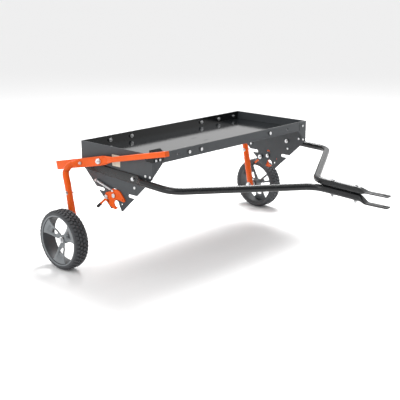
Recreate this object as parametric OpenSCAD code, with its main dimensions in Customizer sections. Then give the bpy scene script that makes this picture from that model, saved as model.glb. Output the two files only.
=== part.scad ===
// Tow-behind attachment carrier cart: a shallow sheet-steel weight tray on two
// side plates, a lever that swings both wheels, and a two-tube drawbar.
// X runs forward to the hitch, Y to the left, Z up. Lengths are in millimetres.

/* [Tray] */
// Width over the outer faces of the side plates
tray_w = 1016; // [850:1:1250]
// Depth over the outer faces of the front and rear rails
tray_d = 423; // [390:1:520]
// Height of the tray rim above the ground
rim_z = 520; // [480:1:560]
// Height of the tray walls above the floor
wall_h = 37; // [28:1:60]
// Thickness of the pan sheet
pan_t = 2; // [1.5:0.1:3]
// Thickness of the side plates and rails
plate_t = 2.5; // [2:0.1:4]

/* [Side plates] */
// Length of the straight edge below the rim, before the plate narrows
plate_edge_h = 98; // [80:1:120]
// Depth of the plate's tips below the rim
plate_tip_h = 261; // [240:1:280]
// Half the distance between the two tips
tip_half = 35.5; // [33:0.5:42]
// Width of the mouth for an attachment's bar
mouth_w = 29; // [27:0.5:34]
// Height of the open slots in the slanted edges
slot_h = 14; // [12:0.5:18]
// Depth of the slots' centre line below the rim
slot_drop = 188; // [180:1:195]

/* [Wheels] */
// Diameter over the tread
wheel_d = 254; // [230:1:280]
// Width of the tyre
tyre_w = 68; // [45:1:75]
// Diameter of the tyre's seat on the rim
rim_seat_d = 212; // [190:1:216]
// Gap between a wheel's centre plane and its leg's axis
wheel_offset = 65; // [58:1:80]
// Diameter of the axle bolts
axle_d = 12; // [10:0.5:14]

/* [Lift] */
// Distance from the front rail back to the lift pivot
pivot_back = 275; // [262:1:290]
// Depth of the lift pivot below the rim
pivot_drop = 61; // [58:1:64]
// Distance that a wheel axle lies behind the lift pivot
axle_back = 115; // [100:1:125]
// Outside diameter of the drawbars and the wheel legs
bar_d = 28.6; // [24:0.1:31]
// Outside diameter of the lift shaft
tube_d = 25.4; // [22:0.1:27]
// Wall of the round tubes
tube_wall = 1.8; // [1.2:0.1:2.5]
// Distance from a side plate's face out to its leg's axis
leg_out = 74; // [66:1:90]
// Distance from the lift pivot forward to the lever's end
lever_reach = 390; // [330:1:430]
// Distance from the lift pivot back to the lever's other end
lever_tail = 292.5; // [240:0.5:320]
// Slope of the lever above level, in degrees
lever_slope = 12.55; // [10:0.05:14]
// Size of the lever's square section
lever_sq = 20; // [18:0.5:22]

/* [Drawbar] */
// Reach of the hitch ends ahead of the front rail
hitch_reach = 743; // [680:1:820]
// Reach of the drawbar's outer bend ahead of the front rail
bend_reach = 116; // [90:1:140]
// Reach of the drawbar's inner bend ahead of the front rail
meet_reach = 412; // [380:1:450]
// Height of the clevis gap's middle above the ground
hitch_z = 366.8; // [340:0.1:390]
// Open height between the two hitch ends
clevis_gap = 38.5; // [30:0.5:42]
// Width of the hitch ends
hitch_w = 35; // [30:1:42]
// Diameter of the hitch pin holes
hitch_hole_d = 13.5; // [11:0.5:17]

/* [Latches] */
// Thickness of the latch claws
claw_t = 5; // [4:0.5:5]
// Outside diameter of the latch springs
spring_d = 8; // [7:0.5:8.5]

/* [Hidden] */
$fn = 48;

// Colours
slate = [0.27, 0.29, 0.31];
black = [0.07, 0.07, 0.08];
orange = [0.93, 0.36, 0.08];
zinc = [0.78, 0.79, 0.80];
rubber = [0.16, 0.17, 0.18];
wheel_grey = [0.36, 0.38, 0.40];
cream = [0.86, 0.84, 0.72];

// Clearances
cut = 1;             // how far a cutting shape runs past what it cuts
run_fit = 0.05;      // radial, where a pin or shaft turns in its bore
hole_fit = 0.25;     // radial, where a bolt passes through a hole
side_gap = 0.5;      // between parts that turn past each other
seat_gap = 0.2;      // between parts pressed together

// Sections shared by several parts
flat_w = 38;         // width of a tube pressed flat
flat_t = 5;          // thickness of a tube pressed flat
squeeze = 45;        // length over which a tube goes from flat to round
slice = 0.5;         // thin slice that a hull starts or ends on
bend_lap = 0.5;      // how far a straight runs into a bend
bend_full = 0.05;    // how much fuller a bend is than its straights

// Side plate and tray
plate_y = tray_w / 2;                 // outer face of a side plate, from the middle
plate_in = plate_y - plate_t;
floor_z = rim_z - wall_h;
edge_z = rim_z - plate_edge_h;
tip_z = rim_z - plate_tip_h;
slot_z = rim_z - slot_drop;
mid_x = -tray_d / 2;
mouth_z = tip_z + 25.5;
slant = (edge_z - tip_z) / (tray_d / 2 - tip_half);
slot_edge_x = tip_half + (slot_z - tip_z) / slant;   // slanted edge at the slot, from mid_x
slot_depth = 42;
tip_r = 4;
flange_w = 50;                        // flanges that wrap on to the rails
hem_h = 10;
rail_lip = 24;
rail_low_z = floor_z - pan_t - plate_t;
wall_bolt_z = rim_z - 20;
brace_y = 229;
outer_bolt_y = 354;
wall_bolt_d = 8;
brace_w = 40;
brace_set = 42;                       // braces stop this far inside the rails

// Lift
pivot = [-pivot_back, rim_z - pivot_drop];
axle = [pivot.x - axle_back, wheel_d / 2];
leg_y = plate_y + leg_out;
lever_flat_y = plate_y + 22;          // inner face of the lever's flat
lever_flat_t = 6;
arm_flat_y = lever_flat_y + lever_flat_t;
lever_y = plate_y + 25.3;             // middle of the lever's square stretch
lever_bolt_s = -118;
arm_front_s = 52;
arm_flat_end_s = -127;
arm_round_s = -135;
arm_kink_s = -149;
arm_tube_y = arm_flat_y + 0.5 + bar_d / 2;
elbow = [pivot.x - 172, pivot.y - 39];
lever_dir = [cos(lever_slope), sin(lever_slope)];
joint_z = 272;                        // rim of the upper leg over the lower one
leg_bolt_z = joint_z + 36;
leg_slope = (axle.x - elbow.x) / (axle.y - elbow.y);
tenon = 14;                           // square on the lift shaft's ends
bushing_d = 37;

brace_h = floor_z - pan_t - pivot.y - tube_d / 2 - 0.8;   // braces clear the shaft below

// Wheel
wheel_y = leg_y + wheel_offset;
hub_r = 19;
hub_in = wheel_y - tyre_w / 2 - 2;
hub_out = wheel_y + 9;
bush_t = 2.5;
leg_out_y = leg_y + bar_d / 2;

// Drawbar
bar_bolt_x = -106;
bar_bolt_z = rim_z - 112;
bar_tail_x = -tray_d + 15;
bar_rear_bolt_x = -tray_d + 33;
flat_end_x = -85;
bar_r = bar_d / 2;
bend_room = 58;       // each drawbar is drawn as three stretches, parted this far from its bends
cuff = 1.25;          // half the length of the collar that closes a squeezed end round its tube
full_r = (bar_r + bend_full) / cos(180 / 32);   // a hull's polygon wholly round a tube
bar_y = plate_y + seat_gap + bar_r;              // tube axis, its inner side in line with the plate
stack = bar_d + 0.6;                  // rise from the lower tube to the upper at the tongue
tongue_bolts_x = [meet_reach + 80, meet_reach + 186];
tongue_z = hitch_z + 10;
slope = (tongue_z - bar_bolt_z) / (tongue_bolts_x[1] - bar_bolt_x);
tube_end_x = tongue_bolts_x[1] + 18;
hitch_flat_x = tube_end_x + 36;
pin_x = hitch_reach - 18;

// Latch
latch_pivot = [mid_x - 8.5, rim_z - 201];
latch_stop = [latch_pivot.x - 45, latch_pivot.y - 12];
spring_hook = [latch_pivot.x - 4, latch_pivot.y + 20];
spring_post = [latch_pivot.x - 106, latch_pivot.y + 48];
claw_y = plate_y + side_gap;
latch_bolt_d = 10;
stop_d = 8;
hook_r = 17;
handle_r = 4.2;
grip_r = 6.5;
handle_from = latch_pivot + [-50, -20];
grip_end = latch_pivot + [-94.5, -56.5];
hook_c = [latch_pivot.x + 15, latch_pivot.y - 31];
latch_travel = 25;
spring_y = claw_y + claw_t + spring_d / 2 - 0.5;
post_d = 6;

// The frame's origin is the middle of the footprint
tail_x = pivot.x - lever_tail * cos(lever_slope) - flat_w / 2 * sin(lever_slope);
origin_x = -(hitch_reach + tail_x) / 2;

// ---------- Helpers ----------

function unit(v) = v / norm(v);

function bar_z(x) = bar_bolt_z + (x - bar_bolt_x) * slope;

function leg_x(z) = axle.x + (z - axle.y) * leg_slope;

function on_lever(s, y) = [pivot.x + s * lever_dir.x, y, pivot.y + s * lever_dir.y];

// Cart coordinates, which start at the front rail's outer face
module cart() translate([origin_x, 0, 0]) children();

// Parts are drawn on the right, at negative Y; the left ones are their mirror image
module left() mirror([0, 1, 0]) children();

// Turns a shape drawn in X and Z, rising towards +Z of its own, to stand at y outwards
module outwards(y) translate([0, -y, 0]) rotate([90, 0, 0]) children();

// Places children at p with their own X, Y and Z along three unit vectors
module posed(p, ex, ey, ez)
    multmatrix([[ex.x, ey.x, ez.x, p.x],
                [ex.y, ey.y, ez.y, p.y],
                [ex.z, ey.z, ez.z, p.z],
                [0, 0, 0, 1]]) children();

// Round bar from a to b
module rod(a, b, r) {
    ez = unit(b - a);
    side = abs(ez.z) < 0.9 ? [0, 0, 1] : [1, 0, 0];
    ex = unit(cross(side, ez));
    posed(a, ex, cross(ez, ex), ez) cylinder(h = norm(b - a), r = r);
}

// Length of a straight cut off by the bend at corner i
function trim(p, radii, i) =
    i <= 0 || i >= len(p) - 1 ? 0
    : radii[i] * tan(acos(unit(p[i] - p[i - 1]) * unit(p[i + 1] - p[i])) / 2);

// Round bar along a path whose corners are bent to the given radii. The bends are a
// hair fuller than the straights, whose ends run a little way into them.
module bent_rod(p, radii, r) {
    last = len(p) - 1;
    for (i = [0 : last - 1]) {
        u = unit(p[i + 1] - p[i]);
        lap0 = i == 0 ? 0 : bend_lap;
        lap1 = i == last - 1 ? 0 : bend_lap;
        rod(p[i] + u * (trim(p, radii, i) - lap0),
            p[i + 1] - u * (trim(p, radii, i + 1) - lap1), r);
    }
    for (i = [1 : len(p) - 2]) {
        u = unit(p[i] - p[i - 1]);
        v = unit(p[i + 1] - p[i]);
        n = unit(v - u * (u * v));
        start = p[i] - u * trim(p, radii, i);
        posed(start + n * radii[i], -n, u, cross(-n, u))
            rotate_extrude(angle = acos(u * v)) translate([radii[i], 0]) circle(r = r + bend_full);
    }
}

// Tube along a path, open at both ends
module bent_tube(p, radii, r, wall) {
    last = len(p) - 1;
    bore = [for (i = [0 : last])
        i == 0 ? p[0] + unit(p[0] - p[1]) * cut
        : i == last ? p[last] + unit(p[last] - p[last - 1]) * cut
        : p[i]];
    difference() {
        bent_rod(p, radii, r);
        bent_rod(bore, radii, r - wall);
    }
}

// Bar with round ends between two points of a plane
module stadium(a, b, r) {
    d = b - a;
    translate(a) circle(r = r);
    translate(b) circle(r = r);
    translate(a) rotate(atan2(d.y, d.x)) translate([0, -r]) square([norm(d), 2 * r]);
}

// Bolt pointing down from its head at z = 0, with a washer and a nut below the grip
module bolt(d, grip, washer = true) {
    head_h = 0.62 * d;
    nut_h = 0.75 * d;
    wash_t = washer ? 1.5 : 0;
    cylinder(h = head_h, r = 0.95 * d, $fn = 6);
    translate([0, 0, -grip - wash_t - nut_h - 0.4 * d])
        cylinder(h = grip + wash_t + nut_h + 0.4 * d, d = d);
    translate([0, 0, -grip - wash_t - nut_h]) difference() {
        cylinder(h = nut_h, r = 0.95 * d, $fn = 6);
        translate([0, 0, -cut]) cylinder(h = nut_h + 2 * cut, r = d / 2 + run_fit);
    }
    if (washer)
        translate([0, 0, -grip - wash_t]) difference() {
            cylinder(h = wash_t - 0.1, r = 1.1 * d);
            translate([0, 0, -cut]) cylinder(h = wash_t + 2 * cut, r = d / 2 + hole_fit);
        }
}

// Hole through everything along the side-to-side direction
module side_hole(x, z, r, y0 = plate_in - cut, y1 = plate_y + cut)
    translate([x, -y0, z]) rotate([90, 0, 0]) cylinder(h = y1 - y0, r = r);

front_bolts_y = [-300, -brace_y, brace_y];
rear_bolts_y = [-outer_bolt_y, -brace_y, brace_y, outer_bolt_y];
spare_holes_y = [-outer_bolt_y - 9, outer_bolt_y + 9];
front_corner_u = plate_y - 30;
rear_corner_u = plate_y - 42;

// ---------- Tray ----------

module wall_holes(x, list, d)
    for (y = list)
        translate([x - 6, y, wall_bolt_z]) rotate([0, 90, 0]) cylinder(h = 12, d = d);

// One folded sheet: floor, front wall and rear wall, each wall with a folded hem
module tray_pan() color(black) cart() {
    y0 = -plate_in + seat_gap;
    w = 2 * (plate_in - seat_gap);
    front = -plate_t;
    rear = -tray_d + plate_t;
    difference() {
        union() {
            translate([rear, y0, floor_z - pan_t]) cube([front - rear, w, pan_t]);
            for (x = [rear, front - pan_t])
                translate([x, y0, floor_z - pan_t]) cube([pan_t, w, wall_h + pan_t]);
            for (x = [rear + pan_t, front - 2 * pan_t])
                translate([x, y0, rim_z - hem_h]) cube([pan_t, w, hem_h]);
        }
        wall_holes(front, concat(front_bolts_y, spare_holes_y), wall_bolt_d + 2 * hole_fit);
        wall_holes(rear, rear_bolts_y, wall_bolt_d + 2 * hole_fit);
        wall_holes(front, [front_corner_u], 6 + 2 * hole_fit);
        wall_holes(rear, [-rear_corner_u, rear_corner_u], 6 + 2 * hole_fit);
        catch_holes();
        // drain slots in the floor
        for (slot = [[-232, -22, 6, 70], [-165, -16, 4, 90]])
            translate([slot.x, slot.y, floor_z - pan_t / 2]) rotate(slot[3])
                cube([24, slot.z, pan_t + 2 * cut], center = true);
    }
}

// Angle section: upright leg on a wall and a lip under the floor
module rail(x, lip_dir) {
    len_y = 2 * (plate_y - flange_w - 2.5);
    translate([x, -len_y / 2, rail_low_z]) cube([plate_t, len_y, rim_z - 1 - rail_low_z]);
    translate([lip_dir < 0 ? x - rail_lip : x, -len_y / 2, rail_low_z])
        cube([rail_lip + plate_t, len_y, plate_t]);
}

module front_rail() color(slate) cart() difference() {
    rail(-plate_t, -1);
    wall_holes(0, concat(front_bolts_y, spare_holes_y), wall_bolt_d + 2 * hole_fit);
    catch_holes();
}

module rear_rail() color(slate) cart() difference() {
    rail(-tray_d, 1);
    wall_holes(-tray_d, rear_bolts_y, wall_bolt_d + 2 * hole_fit);
}

// Inverted hat channel that carries the floor from front to rear
module floor_brace(y) {
    x0 = -tray_d + brace_set;
    len_x = tray_d - 2 * brace_set;
    top = floor_z - pan_t;
    translate([x0, y, top]) {
        for (s = [-1, 1]) {
            translate([0, s * brace_w / 4 - plate_t / 2, -brace_h]) cube([len_x, plate_t, brace_h]);
            translate([0, s > 0 ? brace_w / 4 : -brace_w / 2, -plate_t])
                cube([len_x, brace_w / 4, plate_t]);
        }
        translate([0, -brace_w / 4, -brace_h]) cube([len_x, brace_w / 2, plate_t]);
    }
}

module floor_brace_right() color(slate) cart() floor_brace(-brace_y);
module floor_brace_left() color(slate) cart() floor_brace(brace_y);

// Side plate outline in X and Z, before the mouth and slots are cut
module plate_outline() difference() {
    polygon([
        [0, rim_z], [0, edge_z], [mid_x + tip_half, tip_z], [mid_x - tip_half, tip_z],
        [-tray_d, edge_z], [-tray_d, rim_z]
    ]);
    // mouth for the attachment's bar, round above and flared below
    translate([mid_x, mouth_z]) circle(d = mouth_w);
    polygon([
        [mid_x - mouth_w / 2, mouth_z], [mid_x + mouth_w / 2, mouth_z],
        [mid_x + tip_half - 1.6 * tip_r, tip_z - cut], [mid_x - tip_half + 1.6 * tip_r, tip_z - cut]
    ]);
    // open slots in the slanted edges
    for (s = [-1, 1])
        stadium([mid_x + s * (slot_edge_x - slot_depth + slot_h / 2), slot_z],
                [mid_x + s * (slot_edge_x + 2 * slot_h), slot_z], slot_h / 2);
}

module side_plate(catch_side) {
    difference() {
        union() {
            outwards(plate_in) linear_extrude(plate_t) plate_outline();
            // flanges folded over the ends of the rails
            for (x = [-plate_t, -tray_d])
                translate([x, 0, 0]) rotate([90, 0, 90]) linear_extrude(plate_t)
                    polygon([
                        [-plate_in, edge_z + 3], [-plate_y + flange_w + 8, rail_low_z - 2],
                        [-plate_y + flange_w + 8, rail_low_z - 0.3],
                        [-plate_y + flange_w, rail_low_z - 0.3],
                        [-plate_y + flange_w, rim_z], [-plate_in, rim_z]
                    ]);
        }
        side_hole(pivot.x, pivot.y, bushing_d / 2 - 4.2);
        side_hole(bar_bolt_x, bar_bolt_z, 4 + hole_fit);
        side_hole(bar_rear_bolt_x, bar_z(bar_rear_bolt_x), 4 + hole_fit);
        side_hole(latch_pivot.x, latch_pivot.y, latch_bolt_d / 2 + hole_fit);
        side_hole(latch_stop.x, latch_stop.y, stop_d / 2 + hole_fit);
        side_hole(spring_post.x, spring_post.y, post_d / 2 + hole_fit);
        side_hole(mid_x + 33, tip_z + 29.5, 3.5);
        side_hole(mid_x + 44, tip_z + 51, 3);
        for (p = rivet_places) side_hole(p.x, p.y, 3 + hole_fit);
        // window behind the claw's spring hook
        outwards(plate_in - cut) linear_extrude(plate_t + 2 * cut)
            translate(latch_pivot) for (a = [75 : 7 : 103])
                rotate(a) translate([24, 0]) circle(r = 4.6);
        wall_holes(-tray_d, [-rear_corner_u], 6 + 2 * hole_fit);
        if (catch_side) catch_holes();
        else wall_holes(-plate_t, [-front_corner_u], 6 + 2 * hole_fit);
    }
}

rivet_places = [[-11, rim_z - 91], [-37, rim_z - 91], [-101, rim_z - 149]];

module side_plate_right() color(slate) cart() side_plate(true);
module side_plate_left() color(slate) cart() left() side_plate(false);

// ---------- Fasteners of the chassis ----------

module front_bolt(y, z, d, grip)
    translate([0, y, z]) rotate([0, 90, 0]) bolt(d, grip);

module rail_bolts() color(zinc) cart() {
    grip = plate_t + pan_t;
    for (y = front_bolts_y) front_bolt(y, wall_bolt_z, wall_bolt_d, grip);
    for (y = rear_bolts_y)
        translate([-tray_d, 0, 0]) mirror([1, 0, 0]) front_bolt(y, wall_bolt_z, wall_bolt_d, grip);
}

module corner_bolts() color(zinc) cart() {
    grip = plate_t + pan_t;
    front_bolt(front_corner_u, wall_bolt_z, 6, grip);
    for (s = [-1, 1])
        translate([-tray_d, 0, 0]) mirror([1, 0, 0])
            front_bolt(s * rear_corner_u, wall_bolt_z, 6, grip);
}

// Button-headed rivets through the side plates
module rivet() {
    cylinder(h = 2.2, r = 5.5);
    translate([0, 0, -plate_t - 2]) cylinder(h = plate_t + 2, r = 3);
    translate([0, 0, -plate_t - 2]) cylinder(h = 2 - seat_gap, r = 4.5);
}

module side_plate_rivets() color(zinc) cart()
    for (s = [0, 1]) mirror([0, s, 0])
        for (p = rivet_places) translate([p.x, -plate_y - 0.1, p.y]) rotate([90, 0, 0]) rivet();

// ---------- Lever catch ----------

catch_t = 3;
catch_z = rim_z + 21;
catch_in = plate_y - 63;
catch_out = plate_y + 14.8;
catch_bolts_u = [plate_y - 38, plate_y - 16];
catch_bolt_z = rim_z - 25;
lever_half_h = lever_sq / 2 / cos(lever_slope);
rest_z = pivot.y + pivot_back * tan(lever_slope) - lever_half_h - 0.3;

module catch_holes()
    for (u = catch_bolts_u)
        translate([-12, -u, catch_bolt_z]) rotate([0, 90, 0]) cylinder(h = 24, r = 3 + hole_fit);

// Plate on the front corner: it stands beside the lever and a tongue runs under it
module lever_catch() color(black) cart() difference() {
    rotate([90, 0, 90]) linear_extrude(catch_t) polygon([
        [-catch_in - 21, catch_z], [-catch_in, rim_z + 1], [-catch_in, rim_z - 32],
        [-plate_y - 2, rim_z - 32], [-lever_y - lever_sq / 2, rest_z - 8],
        [-lever_y - lever_sq / 2, rest_z], [-catch_out, rest_z], [-catch_out, catch_z]
    ]);
    catch_holes();
}

module catch_bolts() color(zinc) cart()
    for (u = catch_bolts_u)
        translate([catch_t, -u, catch_bolt_z]) rotate([0, 90, 0])
            bolt(6, catch_t + plate_t + pan_t);

// Blank information label on the right side plate
module blank_label() color(cream) cart()
    translate([mid_x - 20, -plate_y - 0.4, rim_z - 78]) cube([48, 0.4, 47]);

// ---------- Drawbar ----------

// The round tube's path, from the squeezed rear end to the squeezed hitch end
function bar_path(rise) = let (meet_z = bar_z(meet_reach) + rise) [
    [flat_end_x + squeeze, -bar_y, bar_z(flat_end_x + squeeze)],
    [bend_reach, -bar_y, bar_z(bend_reach)],
    [meet_reach, 0, meet_z],
    [tube_end_x, 0, meet_z + (tube_end_x - meet_reach) * slope]
];

bend_radii = [0, 90, 80, 0];

// A point on the way from a to b
function along(a, b, d) = a + unit(b - a) * d;

// Straight tube, open at both ends
module straight_tube(a, b, r, wall) difference() {
    rod(a, b, r);
    rod(along(a, b, -cut), along(b, a, -cut), r - wall);
}

// Rear stretch: pressed flat against the side plate, then round up to the outer bend
module drawbar_rear(rise) {
    path = bar_path(rise);
    inner_y = plate_y + seat_gap;
    fit_r = 4 + hole_fit;
    difference() {
        union() {
            straight_tube(path[0], along(path[1], path[0], bend_room + seat_gap), bar_r, tube_wall);
            outwards(inner_y) linear_extrude(flat_t)
                stadium([bar_tail_x + flat_w / 2, bar_z(bar_tail_x + flat_w / 2)],
                        [flat_end_x, bar_z(flat_end_x)], flat_w / 2);
            hull() {
                outwards(inner_y) linear_extrude(flat_t) translate([flat_end_x, bar_z(flat_end_x)])
                    square([slice, flat_w], center = true);
                translate(path[0] - [cuff, 0, 0]) rotate([0, 90, 0])
                    cylinder(h = 2 * cuff, r = full_r, $fn = 32);
            }
        }
        side_hole(bar_bolt_x, bar_bolt_z, fit_r, inner_y - cut, inner_y + flat_t + cut);
        side_hole(bar_rear_bolt_x, bar_z(bar_rear_bolt_x), fit_r, inner_y - cut,
                  inner_y + flat_t + cut);
    }
}

// Middle stretch: both bends and the slanted straight between them
module drawbar_slant(rise) {
    path = bar_path(rise);
    bent_tube([along(path[1], path[0], bend_room), path[1], path[2],
               along(path[2], path[3], bend_room)], bend_radii, bar_r, tube_wall);
}

// Front stretch: round up to the second bolt, then pressed flat for the hitch
module drawbar_tongue(rise, flat_z) {
    path = bar_path(rise);
    end = path[3];
    difference() {
        union() {
            straight_tube(along(path[2], end, bend_room + seat_gap), end, bar_r, tube_wall);
            translate([hitch_flat_x, -hitch_w / 2, flat_z - flat_t / 2])
                cube([hitch_reach - hitch_flat_x, hitch_w, flat_t]);
            hull() {
                translate([hitch_flat_x, -hitch_w / 2, flat_z - flat_t / 2])
                    cube([slice, hitch_w, flat_t]);
                translate([end.x - cuff, 0, end.z]) rotate([0, 90, 0])
                    cylinder(h = 2 * cuff, r = full_r, $fn = 32);
            }
        }
        for (x = tongue_bolts_x)
            translate([x, 0, hitch_z - 60]) cylinder(h = 140, r = 4 + hole_fit);
        translate([pin_x, 0, flat_z - 10]) cylinder(h = 20, d = hitch_hole_d);
    }
}

upper_flat_z = hitch_z + (clevis_gap + flat_t) / 2;
lower_flat_z = hitch_z - (clevis_gap + flat_t) / 2;

module drawbar_rear_right() color(black) cart() drawbar_rear(-stack / 2);
module drawbar_rear_left() color(black) cart() left() drawbar_rear(stack / 2);
module drawbar_slant_right() color(black) cart() drawbar_slant(-stack / 2);
module drawbar_slant_left() color(black) cart() left() drawbar_slant(stack / 2);
module drawbar_tongue_right() color(black) cart() drawbar_tongue(-stack / 2, lower_flat_z);
module drawbar_tongue_left() color(black) cart() left() drawbar_tongue(stack / 2, upper_flat_z);

module drawbar_bolts() color(zinc) cart()
    for (s = [0, 1]) mirror([0, s, 0])
        for (x = [bar_bolt_x, bar_rear_bolt_x])
            translate([x, -plate_y - seat_gap - flat_t, bar_z(x)]) rotate([90, 0, 0])
                bolt(8, flat_t + seat_gap + plate_t);

module tongue_bolts() color(zinc) cart()
    for (x = tongue_bolts_x)
        translate([x, 0, bar_z(x) + stack / 2 + bar_r + 0.5]) bolt(8, stack + 2 * bar_r + 1);

// ---------- Lift: shaft, lever, arms and legs ----------

module shaft_bushing() outwards(plate_in - 3) difference() {
    union() {
        translate([pivot.x, pivot.y]) cylinder(h = plate_t + 6, r = bushing_d / 2 - 4.2 - seat_gap);
        translate([pivot.x, pivot.y, plate_t + 3]) cylinder(h = 3, d = bushing_d);
    }
    translate([pivot.x, pivot.y, -cut]) cylinder(h = plate_t + 9, r = tube_d / 2 + run_fit);
}

module shaft_bushings() color(black) cart() {
    shaft_bushing();
    left() shaft_bushing();
}

// Solid shaft under the floor, with a square tenon and a tapped hole at each end
module lift_shaft() color(orange) cart() {
    shoulder = lever_flat_y - 0.1;
    tip = arm_flat_y + flat_t - 0.3;
    lever_frame() difference() {
        union() {
            translate([0, 0, -shoulder]) cylinder(h = 2 * shoulder, d = tube_d);
            lever_block(-tenon / 2, tenon / 2, tenon, -tip, tip);
        }
        for (s = [0, 1]) mirror([0, 0, s])
            translate([0, 0, tip - 26]) cylinder(h = 40, r = 5 + run_fit);
    }
}

// Lever coordinates: X along the lever, Y up across it, Z outwards from the cart's middle
module lever_frame() translate([pivot.x, 0, pivot.y]) rotate([0, -lever_slope, 0])
    rotate([90, 0, 0]) children();

// Plate in lever coordinates, from x0 to x1, h high, between the outward distances z0 and z1
module lever_block(x0, x1, h, z0, z1)
    translate([x0, -h / 2, z0]) cube([x1 - x0, h, z1 - z0]);

module tenon_hole(z0, z1) lever_block(-tenon_half, tenon_half, 2 * tenon_half, z0 - cut, z1 + cut);

tenon_half = tenon / 2 + seat_gap;
lever_wall = 1.8;
square_from = 72;                     // where the lever's full square section starts
press_to = arm_front_s + 0.8;                        // where its pressed part ends

// Square tube, pressed flat behind the pivot
module lift_lever() color(orange) cart() lever_frame() difference() {
    y0 = lever_y - lever_sq / 2;
    y1 = lever_y + lever_sq / 2;
    union() {
        lever_block(-lever_tail, press_to, flat_w, lever_flat_y, arm_flat_y);
        lever_block(square_from, lever_reach, lever_sq, y0, y1);
        hull() {
            lever_block(press_to - slice, press_to, flat_w, lever_flat_y, arm_flat_y);
            lever_block(square_from, square_from + slice, lever_sq, y0, y1);
        }
    }
    lever_block(square_from + 4, lever_reach + cut, lever_sq - 2 * lever_wall,
                y0 + lever_wall, y1 - lever_wall);
    tenon_hole(lever_flat_y, arm_flat_y);
    translate([lever_bolt_s, 0, lever_flat_y - cut])
        cylinder(h = lever_flat_t + 2 * cut, r = 4 + hole_fit);
}

// Plug that closes the lever's front end
module lever_end_plug() color(orange) cart() lever_frame() {
    inner = lever_sq - 2 * lever_wall - 2 * seat_gap;
    lever_block(lever_reach - 18, lever_reach + 0.5, inner,
                lever_y - inner / 2, lever_y + inner / 2);
    lever_block(lever_reach + 0.2, lever_reach + 2.2, lever_sq,
                lever_y - lever_sq / 2, lever_y + lever_sq / 2);
}

arm_path = [
    on_lever(arm_round_s, -arm_tube_y),
    on_lever(arm_kink_s, -arm_tube_y),
    [elbow.x, -leg_y, elbow.y],
    [leg_x(joint_z), -leg_y, joint_z]
];

// Upper leg: pressed flat on the lever, then bent outwards and down
module wheel_arm() difference() {
    y0 = arm_flat_y + 0.1;
    union() {
        bent_tube(arm_path, [0, 22, 26, 0], bar_r, tube_wall);
        lever_frame() {
            lever_block(arm_flat_end_s, arm_front_s, flat_w, y0, y0 + flat_t);
            hull() {
                lever_block(arm_flat_end_s, arm_flat_end_s + slice, flat_w, y0, y0 + flat_t);
                translate([arm_round_s, 0, arm_tube_y]) rotate([0, 90, 0])
                    cylinder(h = slice, r = full_r, $fn = 32);
            }
        }
    }
    lever_frame() {
        tenon_hole(arm_flat_y, arm_flat_y + flat_t);
        translate([lever_bolt_s, 0, arm_flat_y - cut])
            cylinder(h = flat_t + 2 * cut, r = 4 + hole_fit);
    }
    side_hole(leg_x(leg_bolt_z), leg_bolt_z, 4 + hole_fit, leg_y - 20, leg_y + 20);
}

module wheel_arm_right() color(orange) cart() wheel_arm();
module wheel_arm_left() color(orange) cart() left() wheel_arm();

// Lower leg: its swaged top slides into the upper leg, and the axle crosses its foot
module lower_leg() {
    foot_z = axle.y - 22;
    gap_z = joint_z - 0.4;
    neck_r = bar_r - tube_wall - seat_gap;
    difference() {
        union() {
            rod([leg_x(foot_z), -leg_y, foot_z], [leg_x(gap_z), -leg_y, gap_z], bar_r);
            rod([leg_x(gap_z - 2), -leg_y, gap_z - 2],
                [leg_x(leg_bolt_z + 26), -leg_y, leg_bolt_z + 26], neck_r);
        }
        rod([leg_x(foot_z - 3), -leg_y, foot_z - 3],
            [leg_x(leg_bolt_z + 30), -leg_y, leg_bolt_z + 30], neck_r - tube_wall);
        side_hole(leg_x(leg_bolt_z), leg_bolt_z, 4 + hole_fit, leg_y - 20, leg_y + 20);
        side_hole(axle.x, axle.y, axle_d / 2 + hole_fit, leg_y - 20, leg_y + 20);
    }
}

module lower_leg_right() color(orange) cart() lower_leg();
module lower_leg_left() color(orange) cart() left() lower_leg();

module leg_bolt()
    translate([leg_x(leg_bolt_z), -leg_y - bar_r - 0.2, leg_bolt_z]) rotate([90, 0, 0])
        bolt(8, bar_d + 0.4, false);

module leg_bolt_right() color(zinc) cart() leg_bolt();
module leg_bolt_left() color(zinc) cart() left() leg_bolt();

// Bolt and washer that clamp the flats on the shaft's tenon
module pivot_bolt() {
    wash_t = 2;
    y = arm_flat_y + flat_t + 0.2;
    outwards(y) translate([pivot.x, pivot.y]) {
        difference() {
            cylinder(h = wash_t, r = 12);
            translate([0, 0, -cut]) cylinder(h = wash_t + 2 * cut, r = 5 + hole_fit);
        }
        translate([0, 0, wash_t + 0.1]) cylinder(h = 6.4, r = 9.2, $fn = 6);
        translate([0, 0, -25]) cylinder(h = 25 + wash_t + 0.1, r = 5);
    }
}

module pivot_bolt_right() color(zinc) cart() pivot_bolt();
module pivot_bolt_left() color(zinc) cart() left() pivot_bolt();

// Bolt that ties the right arm to the lever, with a low head inside
module arm_bolt() color(zinc) cart() {
    p = on_lever(lever_bolt_s, 0);
    outwards(lever_flat_y - 2.6) translate([p.x, p.z]) {
        cylinder(h = 2.5, r = 8);
        translate([0, 0, 2.5]) cylinder(h = lever_flat_t + flat_t + 11, r = 4);
        translate([0, 0, lever_flat_t + flat_t + 2.9]) difference() {
            cylinder(h = 6, r = 7.5, $fn = 6);
            translate([0, 0, -cut]) cylinder(h = 6 + 2 * cut, r = 4 + run_fit);
        }
    }
}

// Square-holed spacer that stands in for the lever's thickness on the left arm
module arm_spacer_left() color(orange) cart() left() lever_frame() difference() {
    translate([0, 0, lever_flat_y]) cylinder(h = lever_flat_t, d = 30);
    tenon_hole(lever_flat_y, arm_flat_y);
}

// ---------- Wheels ----------

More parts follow.
